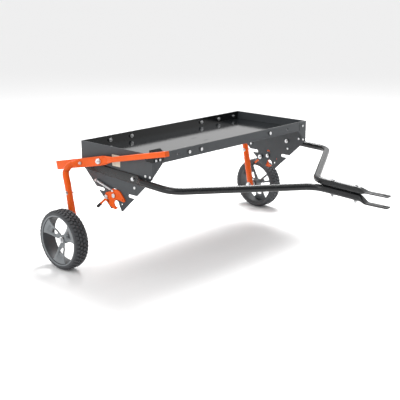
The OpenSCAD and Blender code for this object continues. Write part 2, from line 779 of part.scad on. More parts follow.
// Bolt through the leg, the spacer and the hub
module axle_bolt() {
    head_y = leg_y - bar_r;
    outwards(head_y - 9.5) translate([axle.x, axle.y]) {
        cylinder(h = 7.5, r = 11, $fn = 6);
        cylinder(h = hub_out + 14 - head_y + 9.5, d = axle_d);
    }
    outwards(head_y - 1.9) translate([axle.x, axle.y]) difference() {
        cylinder(h = 1.7, r = 14);
        translate([0, 0, -cut]) cylinder(h = 4, r = axle_d / 2 + hole_fit);
    }
}

module axle_bolt_right() color(zinc) cart() axle_bolt();
module axle_bolt_left() color(zinc) cart() left() axle_bolt();

// Sleeve between the leg and the hub
module axle_spacer() outwards(leg_out_y + 0.2) translate([axle.x, axle.y]) difference() {
    cylinder(h = hub_in - bush_t - leg_out_y - 0.2 - side_gap, r = 11);
    translate([0, 0, -cut]) cylinder(h = 60, r = axle_d / 2 + hole_fit);
}

module axle_spacer_right() color(zinc) cart() axle_spacer();
module axle_spacer_left() color(zinc) cart() left() axle_spacer();

// Washer and lock nut outside the hub
module axle_nut() outwards(hub_out + bush_t + side_gap) translate([axle.x, axle.y]) difference() {
    union() {
        cylinder(h = 2, r = 13);
        translate([0, 0, 2]) cylinder(h = 7, r = 10.5, $fn = 6);
    }
    translate([0, 0, -cut]) cylinder(h = 20, r = axle_d / 2 + run_fit);
}

module axle_nut_right() color(zinc) cart() axle_nut();
module axle_nut_left() color(zinc) cart() left() axle_nut();

// Flanged plain bearings, one pressed into each side of the hub
module hub_bush() {
    sleeve = 16;
    for (side = [0, 1])
        outwards(side == 0 ? hub_in - bush_t : hub_out + bush_t) translate([axle.x, axle.y])
            mirror([0, 0, side]) difference() {
                union() {
                    cylinder(h = bush_t - seat_gap, r = 12.5);
                    cylinder(h = sleeve, r = 9);
                }
                translate([0, 0, -cut]) cylinder(h = sleeve + 2 * cut, r = axle_d / 2 + run_fit);
            }
}

module hub_bush_right() color(black) cart() hub_bush();
module hub_bush_left() color(black) cart() left() hub_bush();

// One window between two spokes, in the wheel's own plane
module spoke_window(a, half, r0, r1) intersection() {
    difference() {
        circle(r = r1);
        circle(r = r0);
    }
    rotate(a) polygon([[0, 0], [2 * r1 * cos(half), 2 * r1 * sin(half)],
                       [2 * r1 * cos(half), -2 * r1 * sin(half)]]);
}

// Wheel rim: barrel, hub and three forked spokes set deep in the barrel
module wheel_rim() {
    seat_r = rim_seat_d / 2;
    lip = 3;
    disc_t = 12;
    first = 88;
    outwards(wheel_y) translate([axle.x, axle.y]) difference() {
        union() {
            rotate_extrude() polygon([
                [seat_r - 8, -tyre_w / 2 + 4], [seat_r - 1, -tyre_w / 2 + 4],
                [seat_r - 1, tyre_w / 2 - 4], [seat_r - 8, tyre_w / 2 - 4]
            ]);
            translate([0, 0, hub_in - wheel_y]) cylinder(h = hub_out - hub_in, r = hub_r);
            translate([0, 0, -disc_t / 2]) linear_extrude(disc_t) difference() {
                circle(r = seat_r - 5);
                for (i = [0 : 2]) {
                    rotate(first + 120 * i) translate([4, 0]) spoke_window(0, 31, 30, seat_r - 10);
                    rotate(first + 60 + 120 * i) spoke_window(0, 11, 44, 78);
                }
            }
        }
        translate([0, 0, -tyre_w]) cylinder(h = 2 * tyre_w, r = 9 + 0.1);
    }
}

module wheel_rim_right() color(wheel_grey) cart() wheel_rim();
module wheel_rim_left() color(wheel_grey) cart() left() wheel_rim();

// Semi-pneumatic tyre with a crowned tread
module tyre() {
    seat_r = rim_seat_d / 2;
    r = wheel_d / 2;
    h = tyre_w / 2;
    outwards(wheel_y) translate([axle.x, axle.y]) rotate_extrude($fn = 96) polygon([
        [seat_r - 1 + seat_gap, -h + 4], [seat_r + 4, -h + 1], [r - 12, -h], [r - 5, -h + 3],
        [r, -h + 10], [r, h - 10], [r - 5, h - 3], [r - 12, h], [seat_r + 4, h - 1],
        [seat_r - 1 + seat_gap, h - 4]
    ]);
}

module tyre_right() color(rubber) cart() tyre();
module tyre_left() color(rubber) cart() left() tyre();

// ---------- Latches ----------

// Claw outline: a body round the pivot, a hook under the bar and a lobe ahead of it
module claw_outline() {
    p = latch_pivot;
    difference() {
        union() {
            polygon([
                p + [-62, -32], p + [-43, -32], p + [-28, -46], p + [-9, -56], p + [6, -58],
                p + [18, -49], p + [10, -40], p + [15, -30], p + [22, -14], p + [34, -15],
                p + [55, -18], p + [61, -13], p + [62, -6], p + [38, 19], p + [29, 25],
                p + [12, 27], p + [-10, 27], p + [-17, 15], p + [-48, 6], p + [-54, -1]
            ]);
            translate(p + [56, -11]) circle(r = 7);
            stadium(handle_from, grip_end, handle_r);
        }
        translate(hook_c) circle(r = hook_r);
        translate(p) circle(r = latch_bolt_d / 2 + run_fit);
        // curved slot that the stop stands in, as long as the claw's travel
        for (k = [0 : 8])
            translate(p) rotate(k * (latch_travel + 2) / 8 - 1) translate(latch_stop - p)
                circle(r = stop_d / 2 + 0.4);
        translate(p + [52, -9]) circle(r = 3);
        translate(spring_hook) circle(r = 2 + run_fit);
    }
}

module latch_claw() {
    outwards(claw_y) linear_extrude(claw_t) claw_outline();
}

// Headed pin that the spring's front eye hooks on
module claw_pin() outwards(claw_y + 0.5) translate(spring_hook) {
    cylinder(h = claw_t, r = 2);
    translate([0, 0, claw_t - 0.4]) cylinder(h = spring_d / 2 + 1.6, r = 2.8);
    translate([0, 0, claw_t + spring_d / 2 + 1.2]) cylinder(h = 1.4, r = 4.4);
}

module claw_pin_right() color(zinc) cart() claw_pin();
module claw_pin_left() color(zinc) cart() left() claw_pin();

module latch_claw_right() color(orange) cart() latch_claw();
module latch_claw_left() color(orange) cart() left() latch_claw();

// Rubber grip on the claw's handle, with a chamfered end
module latch_grip() {
    dir = unit(grip_end - handle_from);
    pocket = 2 * (handle_r + seat_gap);
    outwards(claw_y + claw_t / 2) translate(grip_end) rotate(atan2(dir.y, dir.x))
        rotate([0, 90, 0]) {
            difference() {
                translate([0, 0, -10]) cylinder(h = 26, r = grip_r);
                translate([-claw_t / 2 - seat_gap, -pocket / 2, -12])
                    cube([claw_t + 2 * seat_gap, pocket, 12 + pocket / 2]);
            }
            translate([0, 0, 16]) cylinder(h = 3, r1 = grip_r, r2 = grip_r - 3);
        }
}

module latch_grip_right() color(black) cart() latch_grip();
module latch_grip_left() color(black) cart() left() latch_grip();

// Bolt through claw and side plate, with its nut inside the plate
module latch_bolt(p, d) {
    shank = claw_y + claw_t + 0.3 - plate_in + 8;
    outwards(claw_y + claw_t + 0.3) translate(p) {
        cylinder(h = 5, r = 0.9 * d, $fn = 6);
        translate([0, 0, -shank]) cylinder(h = shank, d = d);
    }
    outwards(plate_in - 6.2) translate(p) difference() {
        cylinder(h = 6, r = 0.9 * d, $fn = 6);
        translate([0, 0, -cut]) cylinder(h = 6 + 2 * cut, r = d / 2 + run_fit);
    }
}

module latch_pivot_right() color(zinc) cart() latch_bolt(latch_pivot, latch_bolt_d);
module latch_pivot_left() color(zinc) cart() left() latch_bolt(latch_pivot, latch_bolt_d);
module latch_stops() color(zinc) cart() {
    latch_bolt(latch_stop, stop_d);
    left() latch_bolt(latch_stop, stop_d);
}

// Extension spring: the coil's outer shape, with a wire eye at each end
module latch_spring() {
    a = [spring_post.x, -spring_y, spring_post.y];
    b = [spring_hook.x, -spring_y, spring_hook.y];
    u = unit(b - a);
    wire = 0.8;
    coil_a = a + 12 * u;
    coil_b = b - 10 * u;
    difference() {
        rod(coil_a, coil_b, spring_d / 2);
        rod(coil_a - cut * u, coil_b + cut * u, spring_d / 2 - 1.5);
    }
    for (end = [[a, coil_a], [b, coil_b]]) {
        v = unit(end[1] - end[0]);
        rod(end[0] + 4 * v, end[1] + 0.5 * v, wire);
        translate(end[0]) rotate([90, 0, 0]) rotate_extrude()
            translate([4, 0]) circle(r = wire, $fn = 16);
        rod(end[1] + [0, 0, -spring_d / 2 + 0.8], end[1] + [0, 0, spring_d / 2 - 0.8], wire);
    }
}

module latch_spring_right() color(zinc) cart() latch_spring();
module latch_spring_left() color(zinc) cart() left() latch_spring();

// Headed post that the spring's rear eye hooks on
module spring_anchor() {
    reach = spring_y + 2.2 - plate_y;
    outwards(plate_y + 0.1) translate(spring_post) {
        cylinder(h = spring_y - 2.4 - plate_y, r = 5.5);
        cylinder(h = reach, d = post_d);
        translate([0, 0, reach]) cylinder(h = 1.6, r = 5);
        translate([0, 0, -plate_t - 6.2]) cylinder(h = plate_t + 6.2, d = post_d);
    }
    outwards(plate_in - 5.1) translate(spring_post) difference() {
        cylinder(h = 5, r = 5.6, $fn = 6);
        translate([0, 0, -cut]) cylinder(h = 7, r = post_d / 2 + run_fit);
    }
}

module spring_anchors() color(zinc) cart() {
    spring_anchor();
    left() spring_anchor();
}

tray_pan();
front_rail();
rear_rail();
floor_brace_right();
floor_brace_left();
side_plate_right();
side_plate_left();
rail_bolts();
corner_bolts();
side_plate_rivets();
lever_catch();
catch_bolts();
blank_label();
drawbar_rear_right();
drawbar_rear_left();
drawbar_slant_right();
drawbar_slant_left();
drawbar_tongue_right();
drawbar_tongue_left();
drawbar_bolts();
tongue_bolts();
shaft_bushings();
lift_shaft();
lift_lever();
lever_end_plug();
wheel_arm_right();
wheel_arm_left();
lower_leg_right();
lower_leg_left();
leg_bolt_right();
leg_bolt_left();
pivot_bolt_right();
pivot_bolt_left();
arm_bolt();
arm_spacer_left();
axle_bolt_right();
axle_bolt_left();
axle_spacer_right();
axle_spacer_left();
axle_nut_right();
axle_nut_left();
hub_bush_right();
hub_bush_left();
wheel_rim_right();
wheel_rim_left();
tyre_right();
tyre_left();
latch_claw_right();
latch_claw_left();
latch_grip_right();
latch_grip_left();
claw_pin_right();
claw_pin_left();
latch_pivot_right();
latch_pivot_left();
latch_stops();
latch_spring_right();
latch_spring_left();
spring_anchors();
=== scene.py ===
"""Tow-behind attachment carrier cart: the looks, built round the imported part. Metres."""
from math import cos, pi, radians, sin, sqrt, tan

import bmesh
import bpy
from mathutils import Matrix, Vector


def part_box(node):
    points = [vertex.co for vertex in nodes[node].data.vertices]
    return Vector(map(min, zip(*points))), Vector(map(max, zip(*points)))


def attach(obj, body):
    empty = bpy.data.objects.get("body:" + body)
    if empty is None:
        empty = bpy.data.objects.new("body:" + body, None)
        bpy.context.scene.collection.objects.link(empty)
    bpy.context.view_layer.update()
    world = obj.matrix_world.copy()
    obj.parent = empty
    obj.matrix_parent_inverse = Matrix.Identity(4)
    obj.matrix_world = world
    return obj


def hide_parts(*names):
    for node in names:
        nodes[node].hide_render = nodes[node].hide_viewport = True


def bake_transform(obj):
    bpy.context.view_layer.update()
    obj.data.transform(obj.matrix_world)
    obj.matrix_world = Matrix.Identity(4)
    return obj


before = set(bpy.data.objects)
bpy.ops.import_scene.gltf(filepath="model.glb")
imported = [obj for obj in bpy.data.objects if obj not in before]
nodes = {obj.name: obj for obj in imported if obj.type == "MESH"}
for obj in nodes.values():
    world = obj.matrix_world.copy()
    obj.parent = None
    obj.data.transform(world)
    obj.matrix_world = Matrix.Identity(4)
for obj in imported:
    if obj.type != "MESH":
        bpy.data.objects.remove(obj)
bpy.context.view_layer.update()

# ---- Studio ----
# A white sweep of paper lit from above and behind, so that soft shadows fall towards the
# viewer and to the hitch side, with a dimmer fill from the front.
VIEW_FROM = (2.0960, -2.6214, 1.1921)
VIEW_TURN = radians(132.48)
VIEW_DIP = radians(15.67)
LENS_MM, SENSOR_MM = 72.81, 36
LIT_MIDDLE = Vector((0, 0, 0.3))
CURTAIN_WAY = (0.93, -0.25, -0.27)
CURTAIN_SHADE = (0.12, 0.12, 0.13, 1)
lens = bpy.data.cameras.new("camera")
lens.lens = LENS_MM
lens.sensor_width = SENSOR_MM
camera = bpy.data.objects.new("camera", lens)
camera.location = VIEW_FROM
camera.rotation_euler = (pi / 2 - VIEW_DIP, 0, VIEW_TURN - pi / 2)
bpy.context.scene.collection.objects.link(camera)
bpy.context.scene.camera = camera
bpy.context.scene.view_settings.view_transform = "Standard"


def lamp(name, where, size, watts):
    """Soft square lamp that faces the middle of the cart."""
    light = bpy.data.lights.new(name, "AREA")
    light.size = size
    light.energy = watts
    made = bpy.data.objects.new(name, light)
    made.location = where
    made.rotation_euler = (LIT_MIDDLE - Vector(where)).to_track_quat("-Z", "Y").to_euler()
    bpy.context.scene.collection.objects.link(made)


lamp("overhead", (-1.2, 1.5, 3.2), 1.5, 165)
lamp("front_fill", (0.2, -3.6, 2.2), 1.6, 26)


class Wire:
    """An output socket in a node tree. Arithmetic on it adds Math nodes."""

    def __init__(self, tree, socket=None):
        self.tree = tree
        self.socket = socket

    def node(self, kind, settings=None, sockets=None, out=0):
        """A node of any type: its settings are set first, then its sockets."""
        made = self.tree.nodes.new(kind)
        for key, value in (settings or {}).items():
            if key == "stops":
                while len(made.color_ramp.elements) < len(value):
                    made.color_ramp.elements.new(0.5)
                for stop, (place, colour) in zip(made.color_ramp.elements, value):
                    stop.position = place
                    stop.color = colour
            else:
                setattr(made, key, value)
        feed(self.tree, made, sockets or {})
        return Wire(self.tree, made.outputs[out])

    def math(self, operation, *others):
        """A Math node whose first value is this wire."""
        return self.node("ShaderNodeMath", {"operation": operation},
                         dict(enumerate((self, *others))))

    def __add__(self, other):
        return self.math("ADD", other)

    def __sub__(self, other):
        return self.math("SUBTRACT", other)

    def __rsub__(self, other):
        return self.node("ShaderNodeMath", {"operation": "SUBTRACT"}, {0: other, 1: self})

    def __mul__(self, other):
        return self.math("MULTIPLY", other)

    def __truediv__(self, other):
        return self.math("DIVIDE", other)

    def __mod__(self, other):
        return self.math("MODULO", other)

    __radd__ = __add__
    __rmul__ = __mul__

    def ramp(self, low, high):
        """0 below low and 1 above high, or falling where low is above high."""
        return self.node("ShaderNodeMapRange", {"interpolation_type": "SMOOTHSTEP"},
                         {"Value": self, "From Min": low, "From Max": high})

    def mix(self, first, second):
        """Colour that runs from the first to the second as this goes from 0 to 1."""
        return self.node("ShaderNodeMix", {"data_type": "RGBA"},
                         {0: self, 6: first, 7: second}, out=2)


def feed(tree, made, sockets):
    """Sets a node's sockets to values, or links them to wires."""
    for key, value in sockets.items():
        if isinstance(value, Wire):
            tree.links.new(value.socket, made.inputs[key])
        elif value is not None:
            made.inputs[key].default_value = value


# White all round but for a dark curtain on the hitch side.
sky = bpy.data.worlds.new("studio")
sky.use_nodes = True
start = Wire(sky.node_tree)
outlook = start.node("ShaderNodeVectorMath", {"operation": "DOT_PRODUCT"}, {
    0: start.node("ShaderNodeTexCoord"), 1: CURTAIN_WAY}, out="Value")
feed(sky.node_tree, sky.node_tree.nodes["Background"], {
    "Color": outlook.ramp(0.35, 0.85).mix((1, 1, 1, 1), CURTAIN_SHADE),
    "Strength": 1.0})
bpy.context.scene.world = sky


def new_finish(name):
    """A material: returns it, a wire that starts its nodes, and its surface shader."""
    material = bpy.data.materials.new(name)
    material.use_nodes = True
    tree = material.node_tree
    return material, Wire(tree), tree.nodes["Principled BSDF"]


def noise(start, place, scale, detail=2.0, rough=0.5):
    """Cloudy values about 0.5; the scale is in patches to a metre."""
    return start.node("ShaderNodeTexNoise", {},
                      {"Vector": place, "Scale": scale, "Detail": detail, "Roughness": rough})


EDGE_FLAT, EDGE_TURNED = 0.995, 0.86


def edge_mask(start, rounding):
    """How far the surface turns within the rounding, and the rounded normal."""
    round_off = start.node("ShaderNodeBevel", {"samples": 4}, {"Radius": rounding})
    true_normal = start.node("ShaderNodeNewGeometry", out="Normal")
    along = start.node("ShaderNodeVectorMath", {"operation": "DOT_PRODUCT"},
                       {0: round_off, 1: true_normal}, out="Value")
    return along.ramp(EDGE_FLAT, EDGE_TURNED), round_off


PEEL_SCALE, GRIT_SCALE, CLOUD_SCALE, DUST_SCALE = 430.0, 2400.0, 7.0, 38.0
PEEL_STRENGTH, PEEL_DEPTH = 0.11, 0.0004
DUST_SHADE, DUST_COVER = 0.22, 0.28


def grained_finish(name, colour, gloss, rounding=0.0012, dust=0.35, shine=0.42):
    """Powder paint, moulded plastic or rubber: fine peel, cloudiness, and paler edges that are
    partly wear and partly a painted highlight.
    """
    material, start, shader = new_finish(name)
    place = start.node("ShaderNodeTexCoord", out="Object")
    edge, normal = edge_mask(start, rounding)
    peel = noise(start, place, PEEL_SCALE, 2.0)
    grit = noise(start, place, GRIT_SCALE, 1.0)
    cloud = noise(start, place, CLOUD_SCALE, 5.0, 0.6)
    settled = noise(start, place, DUST_SCALE, 6.0, 0.7).ramp(0.48, 0.75)
    light = [min(1.0, c * 1.25 + 0.012) for c in colour] + [1]
    deep = [c * 0.86 for c in colour] + [1]
    dusty = [(1 - DUST_COVER) * c + DUST_COVER * DUST_SHADE for c in colour] + [1]
    body = cloud.ramp(0.3, 0.7).mix(deep, list(colour) + [1])
    body = (settled * dust * 0.35).mix(body, dusty)
    # Edges are lightened: partly wear, partly a painted highlight where the edges catch the
    # light.
    body = (edge * 0.55).mix(body, light)
    bump = start.node("ShaderNodeBump", {}, {"Height": peel * 0.8 + grit * 0.2,
                      "Strength": PEEL_STRENGTH, "Distance": PEEL_DEPTH, "Normal": normal})
    feed(start.tree, shader, {
        "Base Color": body,
        "Roughness": gloss + cloud * 0.08 + settled * dust * 0.12 + edge * 0.06 - 0.04,
        "Normal": bump, "Specular IOR Level": shine})
    return material


def paint_nodes(finish, *names):
    """Gives CAD nodes their finish."""
    for name in names:
        for place in nodes[name].material_slots:
            place.material = finish


# ---- Weight tray ----
# One folded sheet of steel: floor, front wall and rear wall with hemmed tops, closed at the
# ends by the side plates. Painted gloss black, so the floor mirrors the studio.
black_coat = grained_finish("black_powder_coat", (0.0085, 0.0095, 0.0105), 0.26)
tray_coat = grained_finish("tray_powder_coat", (0.006, 0.007, 0.008), 0.10, dust=0.25,
                           shine=1.0)
paint_nodes(tray_coat, "tray_pan")

# ---- Rails, braces and side plates ----
# Pressed steel sheet, powder coated dark slate: two rails bolted over the tray walls, hat
# channels under its floor, and a notched plate with wrapped flanges at each end.
slate_coat = grained_finish("slate_powder_coat", (0.050, 0.056, 0.062), 0.38)
paint_nodes(slate_coat, "front_rail", "rear_rail", "floor_brace_right", "floor_brace_left",
            "side_plate_right", "side_plate_left")
paint_nodes(black_coat, "lever_catch")

# ---- Information label ----
# A blank film stuck to the right side plate: cream, slightly glossy, lifting a hair at its
# edges, with a faint darker border and nothing printed on it.
CREAM, STAINED_CREAM = (0.70, 0.67, 0.55, 1), (0.62, 0.59, 0.48, 1)
LABEL_BORDER = (0.30, 0.29, 0.26, 1)
material, start, shader = new_finish("label_film")
place = start.node("ShaderNodeTexCoord", out="Object")
fibre = noise(start, place, 900.0, 3.0)
stain = noise(start, place, 60.0, 4.0).ramp(0.4, 0.7)
edge, normal = edge_mask(start, 0.0006)
body = stain.mix(CREAM, STAINED_CREAM)
feed(start.tree, shader, {
    "Base Color": (edge * 0.6).mix(body, LABEL_BORDER),
    "Roughness": 0.34 + fibre * 0.12,
    "Normal": start.node("ShaderNodeBump", {}, {"Height": fibre, "Strength": 0.08,
                         "Distance": 0.0002, "Normal": normal})})
paint_nodes(material, "blank_label")

# ---- Drawbar ----
# Two round steel tubes, bent twice each: pressed flat where they bolt to the side plates,
# stacked and bolted through at the tongue, and pressed flat again to make a clevis.
MM = 0.001
UP = Vector((0, 0, 1))
SIDEWAYS = Vector((0, 1, 0))
front_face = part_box("front_rail")[1].x
plate_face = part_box("side_plate_left")[1].y / MM
leg_low, leg_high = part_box("lower_leg_left")
TUBE_R = (leg_high.y - leg_low.y) / 2 / MM
FLAT_HALF = 2.5
CORNER_STEPS = 8


def at(x, y, z):
    """A point given in millimetres, measured back and forward from the front rail's face."""
    return Vector((front_face + x * MM, y * MM, z * MM))


def new_piece(name, mesh, *finishes):
    """An object at the origin with its mesh and its finishes."""
    for finish in finishes:
        mesh.materials.append(finish)
    made = bpy.data.objects.new(name, mesh)
    bpy.context.scene.collection.objects.link(made)
    return made


def mesh_of(name, verts, faces, smooth=40):
    """A closed mesh with its faces turned outwards, smooth except at its sharp edges."""
    mesh = bpy.data.meshes.new(name)
    mesh.from_pydata([tuple(v) for v in verts], [], faces)
    work = bmesh.new()
    work.from_mesh(mesh)
    bmesh.ops.remove_doubles(work, verts=work.verts, dist=1e-6)
    bmesh.ops.recalc_face_normals(work, faces=work.faces)
    work.to_mesh(mesh)
    work.free()
    mesh.shade_smooth()
    mesh.set_sharp_from_angle(angle=radians(smooth))
    return mesh


def ring(centre, side, up, half_side, half_up, corner):
    """Outline of a rounded rectangle; a circle where all three sizes are equal."""
    points = []
    for quarter in range(4):
        su, sv = ((1, 1), (-1, 1), (-1, -1), (1, -1))[quarter]
        for k in range(CORNER_STEPS):
            a = radians(90 * (quarter + (k + 0.5) / CORNER_STEPS))
            u = su * (half_side - corner) + corner * cos(a)
            v = sv * (half_up - corner) + corner * sin(a)
            points.append(centre + side * (u * MM) + up * (v * MM))
    return points


def loft(name, stations, smooth=40):
    """Closed bar through stations of (centre, direction, half side, half up, corner)."""
    verts, faces = [], []
    for centre, ahead, half_side, half_up, corner in stations:
        side = ahead.cross(UP).normalized() if abs(ahead.z) < 0.9 else SIDEWAYS
        up = side.cross(ahead).normalized()
        verts += ring(centre, side, up, half_side, half_up, corner)
    count = 4 * CORNER_STEPS
    for i in range(len(stations) - 1):
        for k in range(count):
            n = (k + 1) % count
            faces.append((i * count + k, i * count + n, (i + 1) * count + n, (i + 1) * count + k))
    faces.append(tuple(range(count - 1, -1, -1)))
    faces.append(tuple((len(stations) - 1) * count + k for k in range(count)))
    return mesh_of(name, verts, faces, smooth)


def bent_route(corners, radii, steps=14):
    """Points and directions along straights that are joined by round bends."""
    route = [(corners[0], (corners[1] - corners[0]).normalized())]
    for i in range(1, len(corners) - 1):
        u = (corners[i] - corners[i - 1]).normalized()
        v = (corners[i + 1] - corners[i]).normalized()
        turn = u.angle(v)
        r = radii[i - 1] * MM
        inward = (v - u * u.dot(v)).normalized()
        first = corners[i] - u * r * tan(turn / 2)
        for k in range(steps + 1):
            a = turn * k / steps
            route.append((first + u * (r * sin(a)) + inward * (r * (1 - cos(a))),
                          u * cos(a) + inward * sin(a)))
    route.append((corners[-1], (corners[-1] - corners[-2]).normalized()))
    return route


def ease(t):
    """Smooth step from 0 to 1."""
    return t * t * (3 - 2 * t)


def blend(a, b, t):
    """The value a share t of the way from a to b."""
    return a + (b - a) * t


def bore(piece, centre, axis, radius):
    """Drills a round hole through a closed piece, which keeps its finish."""
    turn = axis.to_track_quat("Z", "Y").to_matrix().to_4x4()
    work = bmesh.new()
    bmesh.ops.create_cone(work, cap_ends=True, segments=48, radius1=radius, radius2=radius,
                          depth=0.06, matrix=Matrix.Translation(centre) @ turn)
    mesh = bpy.data.meshes.new("drill")
    work.to_mesh(mesh)
    work.free()
    drill = new_piece("drill", mesh)
    cut = piece.modifiers.new("cut", "BOOLEAN")
    cut.object = drill
    cut.solver = "EXACT"
    applied = bpy.data.meshes.new_from_object(
        piece.evaluated_get(bpy.context.evaluated_depsgraph_get()))
    piece.modifiers.clear()
    piece.data = applied
    bpy.data.objects.remove(drill)
    applied.shade_smooth()
    applied.set_sharp_from_angle(angle=radians(40))


BAR_SLOPE = -0.04432
BAR_FRONT_BOLT = (-106, 408)
SEAT_GAP = 0.2
BAR_Y = plate_face + SEAT_GAP + TUBE_R
REAR_FLAT_Y = plate_face + SEAT_GAP + FLAT_HALF
TAIL_X, REAR_FLAT_END, ROUND_FROM = -408, -85, -40
OUTER_BEND_X, MEET_X, ROUND_TO, HITCH_FLAT, HITCH_END = 116, 412, 616, 652, 743
OUTER_BEND_R, MEET_BEND_R = 90, 80
UPPER_FLAT_Z, LOWER_FLAT_Z = 388.55, 345.05
PIN_X, PIN_HOLE_R = 725, 6.75
REAR_HALF, HITCH_HALF, HITCH_CORNER = 19, 17.5, 8
NEAR_ROUND = 0.999
STACK = TUBE_R + 0.3
bar_ahead = Vector((1, 0, BAR_SLOPE)).normalized()


def bar_z(x):
    """Height of a drawbar's middle line behind its second bend."""
    return BAR_FRONT_BOLT[1] + BAR_SLOPE * (x - BAR_FRONT_BOLT[0])


for side, sign, rise, flat_z in (("right", -1, -STACK, LOWER_FLAT_Z),
                                 ("left", 1, STACK, UPPER_FLAT_Z)):
    stations = []
    for k in range(9):
        a = pi / 2 * max(k, 0.25) / 8
        x = TAIL_X + REAR_HALF * (1 - cos(a))
        half = REAR_HALF * sin(a)
        stations.append((at(x, sign * REAR_FLAT_Y, bar_z(x)), bar_ahead,
                         FLAT_HALF, half, min(FLAT_HALF, half) * 0.98))
    for k in range(13):
        t = ease(k / 12)
        x = blend(REAR_FLAT_END, ROUND_FROM, k / 12)
        half = blend(FLAT_HALF, TUBE_R, t)
        stations.append((at(x, sign * blend(REAR_FLAT_Y, BAR_Y, t), bar_z(x)), bar_ahead,
                         half, blend(REAR_HALF, TUBE_R, t), half * NEAR_ROUND))
    meet_z = bar_z(MEET_X) + rise
    end_z = meet_z + (ROUND_TO - MEET_X) * BAR_SLOPE
    route = bent_route([at(ROUND_FROM, sign * BAR_Y, bar_z(ROUND_FROM)),
                        at(OUTER_BEND_X, sign * BAR_Y, bar_z(OUTER_BEND_X)),
                        at(MEET_X, 0, meet_z), at(ROUND_TO, 0, end_z)],
                       [OUTER_BEND_R, MEET_BEND_R])
    for place, ahead in route[1:]:
        stations.append((place, ahead, TUBE_R, TUBE_R, TUBE_R))
    level = Vector((1, 0, 0))
    for k in range(1, 13):
        t = ease(k / 12)
        x = blend(ROUND_TO, HITCH_FLAT, k / 12)
        half = blend(TUBE_R, FLAT_HALF, t)
        stations.append((at(x, 0, blend(end_z, flat_z, t)), level,
                         blend(TUBE_R, HITCH_HALF, t), half, half * NEAR_ROUND))
    for k in range(7):
        a = pi / 2 * k / 6
        stations.append((at(HITCH_END - HITCH_CORNER * (1 - sin(a)), 0, flat_z), level,
                         HITCH_HALF - HITCH_CORNER * (1 - cos(a)), FLAT_HALF,
                         FLAT_HALF * 0.98))
    drawbar = new_piece("drawbar_tube_" + side, loft("drawbar_" + side, stations), black_coat)
    bore(drawbar, at(PIN_X, 0, flat_z), UP, PIN_HOLE_R * MM)
    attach(drawbar, "chassis")
    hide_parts("drawbar_rear_" + side, "drawbar_slant_" + side,
                "drawbar_tongue_" + side)

# ---- Lift shaft, lever and wheel arms ----
# Orange powder coated tube. The lever is square tube pressed flat behind its pivot; each arm
# is round tube, pressed flat on the shaft's end and bent out and down to carry a wheel leg.
orange_coat = grained_finish("orange_powder_coat", (0.82, 0.105, 0.004), 0.36, dust=0.08,
                             shine=0.28)
nylon = grained_finish("moulded_nylon", (0.013, 0.013, 0.014), 0.5, 0.0006)
PIVOT = (-275, 459)
LEVER_SLOPE = radians(12.55)
LEVER_HALF, LEVER_CORNER = 10.4, 3.0
LEVER_TAIL, LEVER_REACH = -292.5, 390
TAPER_FROM, TAPER_TO = 14, 78
LEVER_FLAT_U, LEVER_TUBE_U = 533, 533.3


def on_lever(s, u, sign=-1):
    """A point s along the lever from its pivot and u out from the middle of the cart."""
    return at(PIVOT[0] + s * cos(LEVER_SLOPE), sign * u, PIVOT[1] + s * sin(LEVER_SLOPE))


lever_ahead = Vector((cos(LEVER_SLOPE), 0, sin(LEVER_SLOPE)))
stations = []
for s, half_side, half_up in ((LEVER_TAIL, 2.4, 18.4), (LEVER_TAIL + 0.5, 3, REAR_HALF)):
    stations.append((on_lever(s, LEVER_FLAT_U), lever_ahead, half_side, half_up, 2.2))
for k in range(17):
    t = ease(k / 16)
    stations.append((on_lever(blend(TAPER_FROM, TAPER_TO, k / 16),
                              blend(LEVER_FLAT_U, LEVER_TUBE_U, t)), lever_ahead,
                     blend(3, LEVER_HALF, t), blend(REAR_HALF, LEVER_HALF, t),
                     blend(2.4, LEVER_CORNER, t)))
stations.append((on_lever(LEVER_REACH, LEVER_TUBE_U), lever_ahead, LEVER_HALF, LEVER_HALF,
                 LEVER_CORNER))
lever = new_piece("lever_tube", loft("lever", stations, 50), orange_coat)
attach(lever, "lift")
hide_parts("lift_lever")
paint_nodes(orange_coat, "lift_shaft", "arm_spacer_left", "lever_end_plug")
paint_nodes(nylon, "shaft_bushings")

AXLE = (-390, 127)
LEG_U = 582
LEG_LEAN = -0.1945
JOINT_Z, FOOT_Z, KNEE_Z = 272, 105, 340
LEG_R = TUBE_R + 0.7
ARM_NOSE, ARM_WIDE_FROM, ARM_WIDE_TO, ARM_ROUND_FROM = 50, 2, -112, -147
ARM_FLAT_U, ARM_ROUND_U = 538.6, 536.6 + TUBE_R
ARM_EDGE_R, NOSE_HALF, NECK_R = 2.2, 11.5, 9.5
ELBOW = (-450, 414)
ARM_BENDS = [20, 42, 60]
lever_back = -lever_ahead


def leg_x(z):
    """How far behind the front rail a leg's middle line is at a height."""
    return AXLE[0] + LEG_LEAN * (z - AXLE[1])


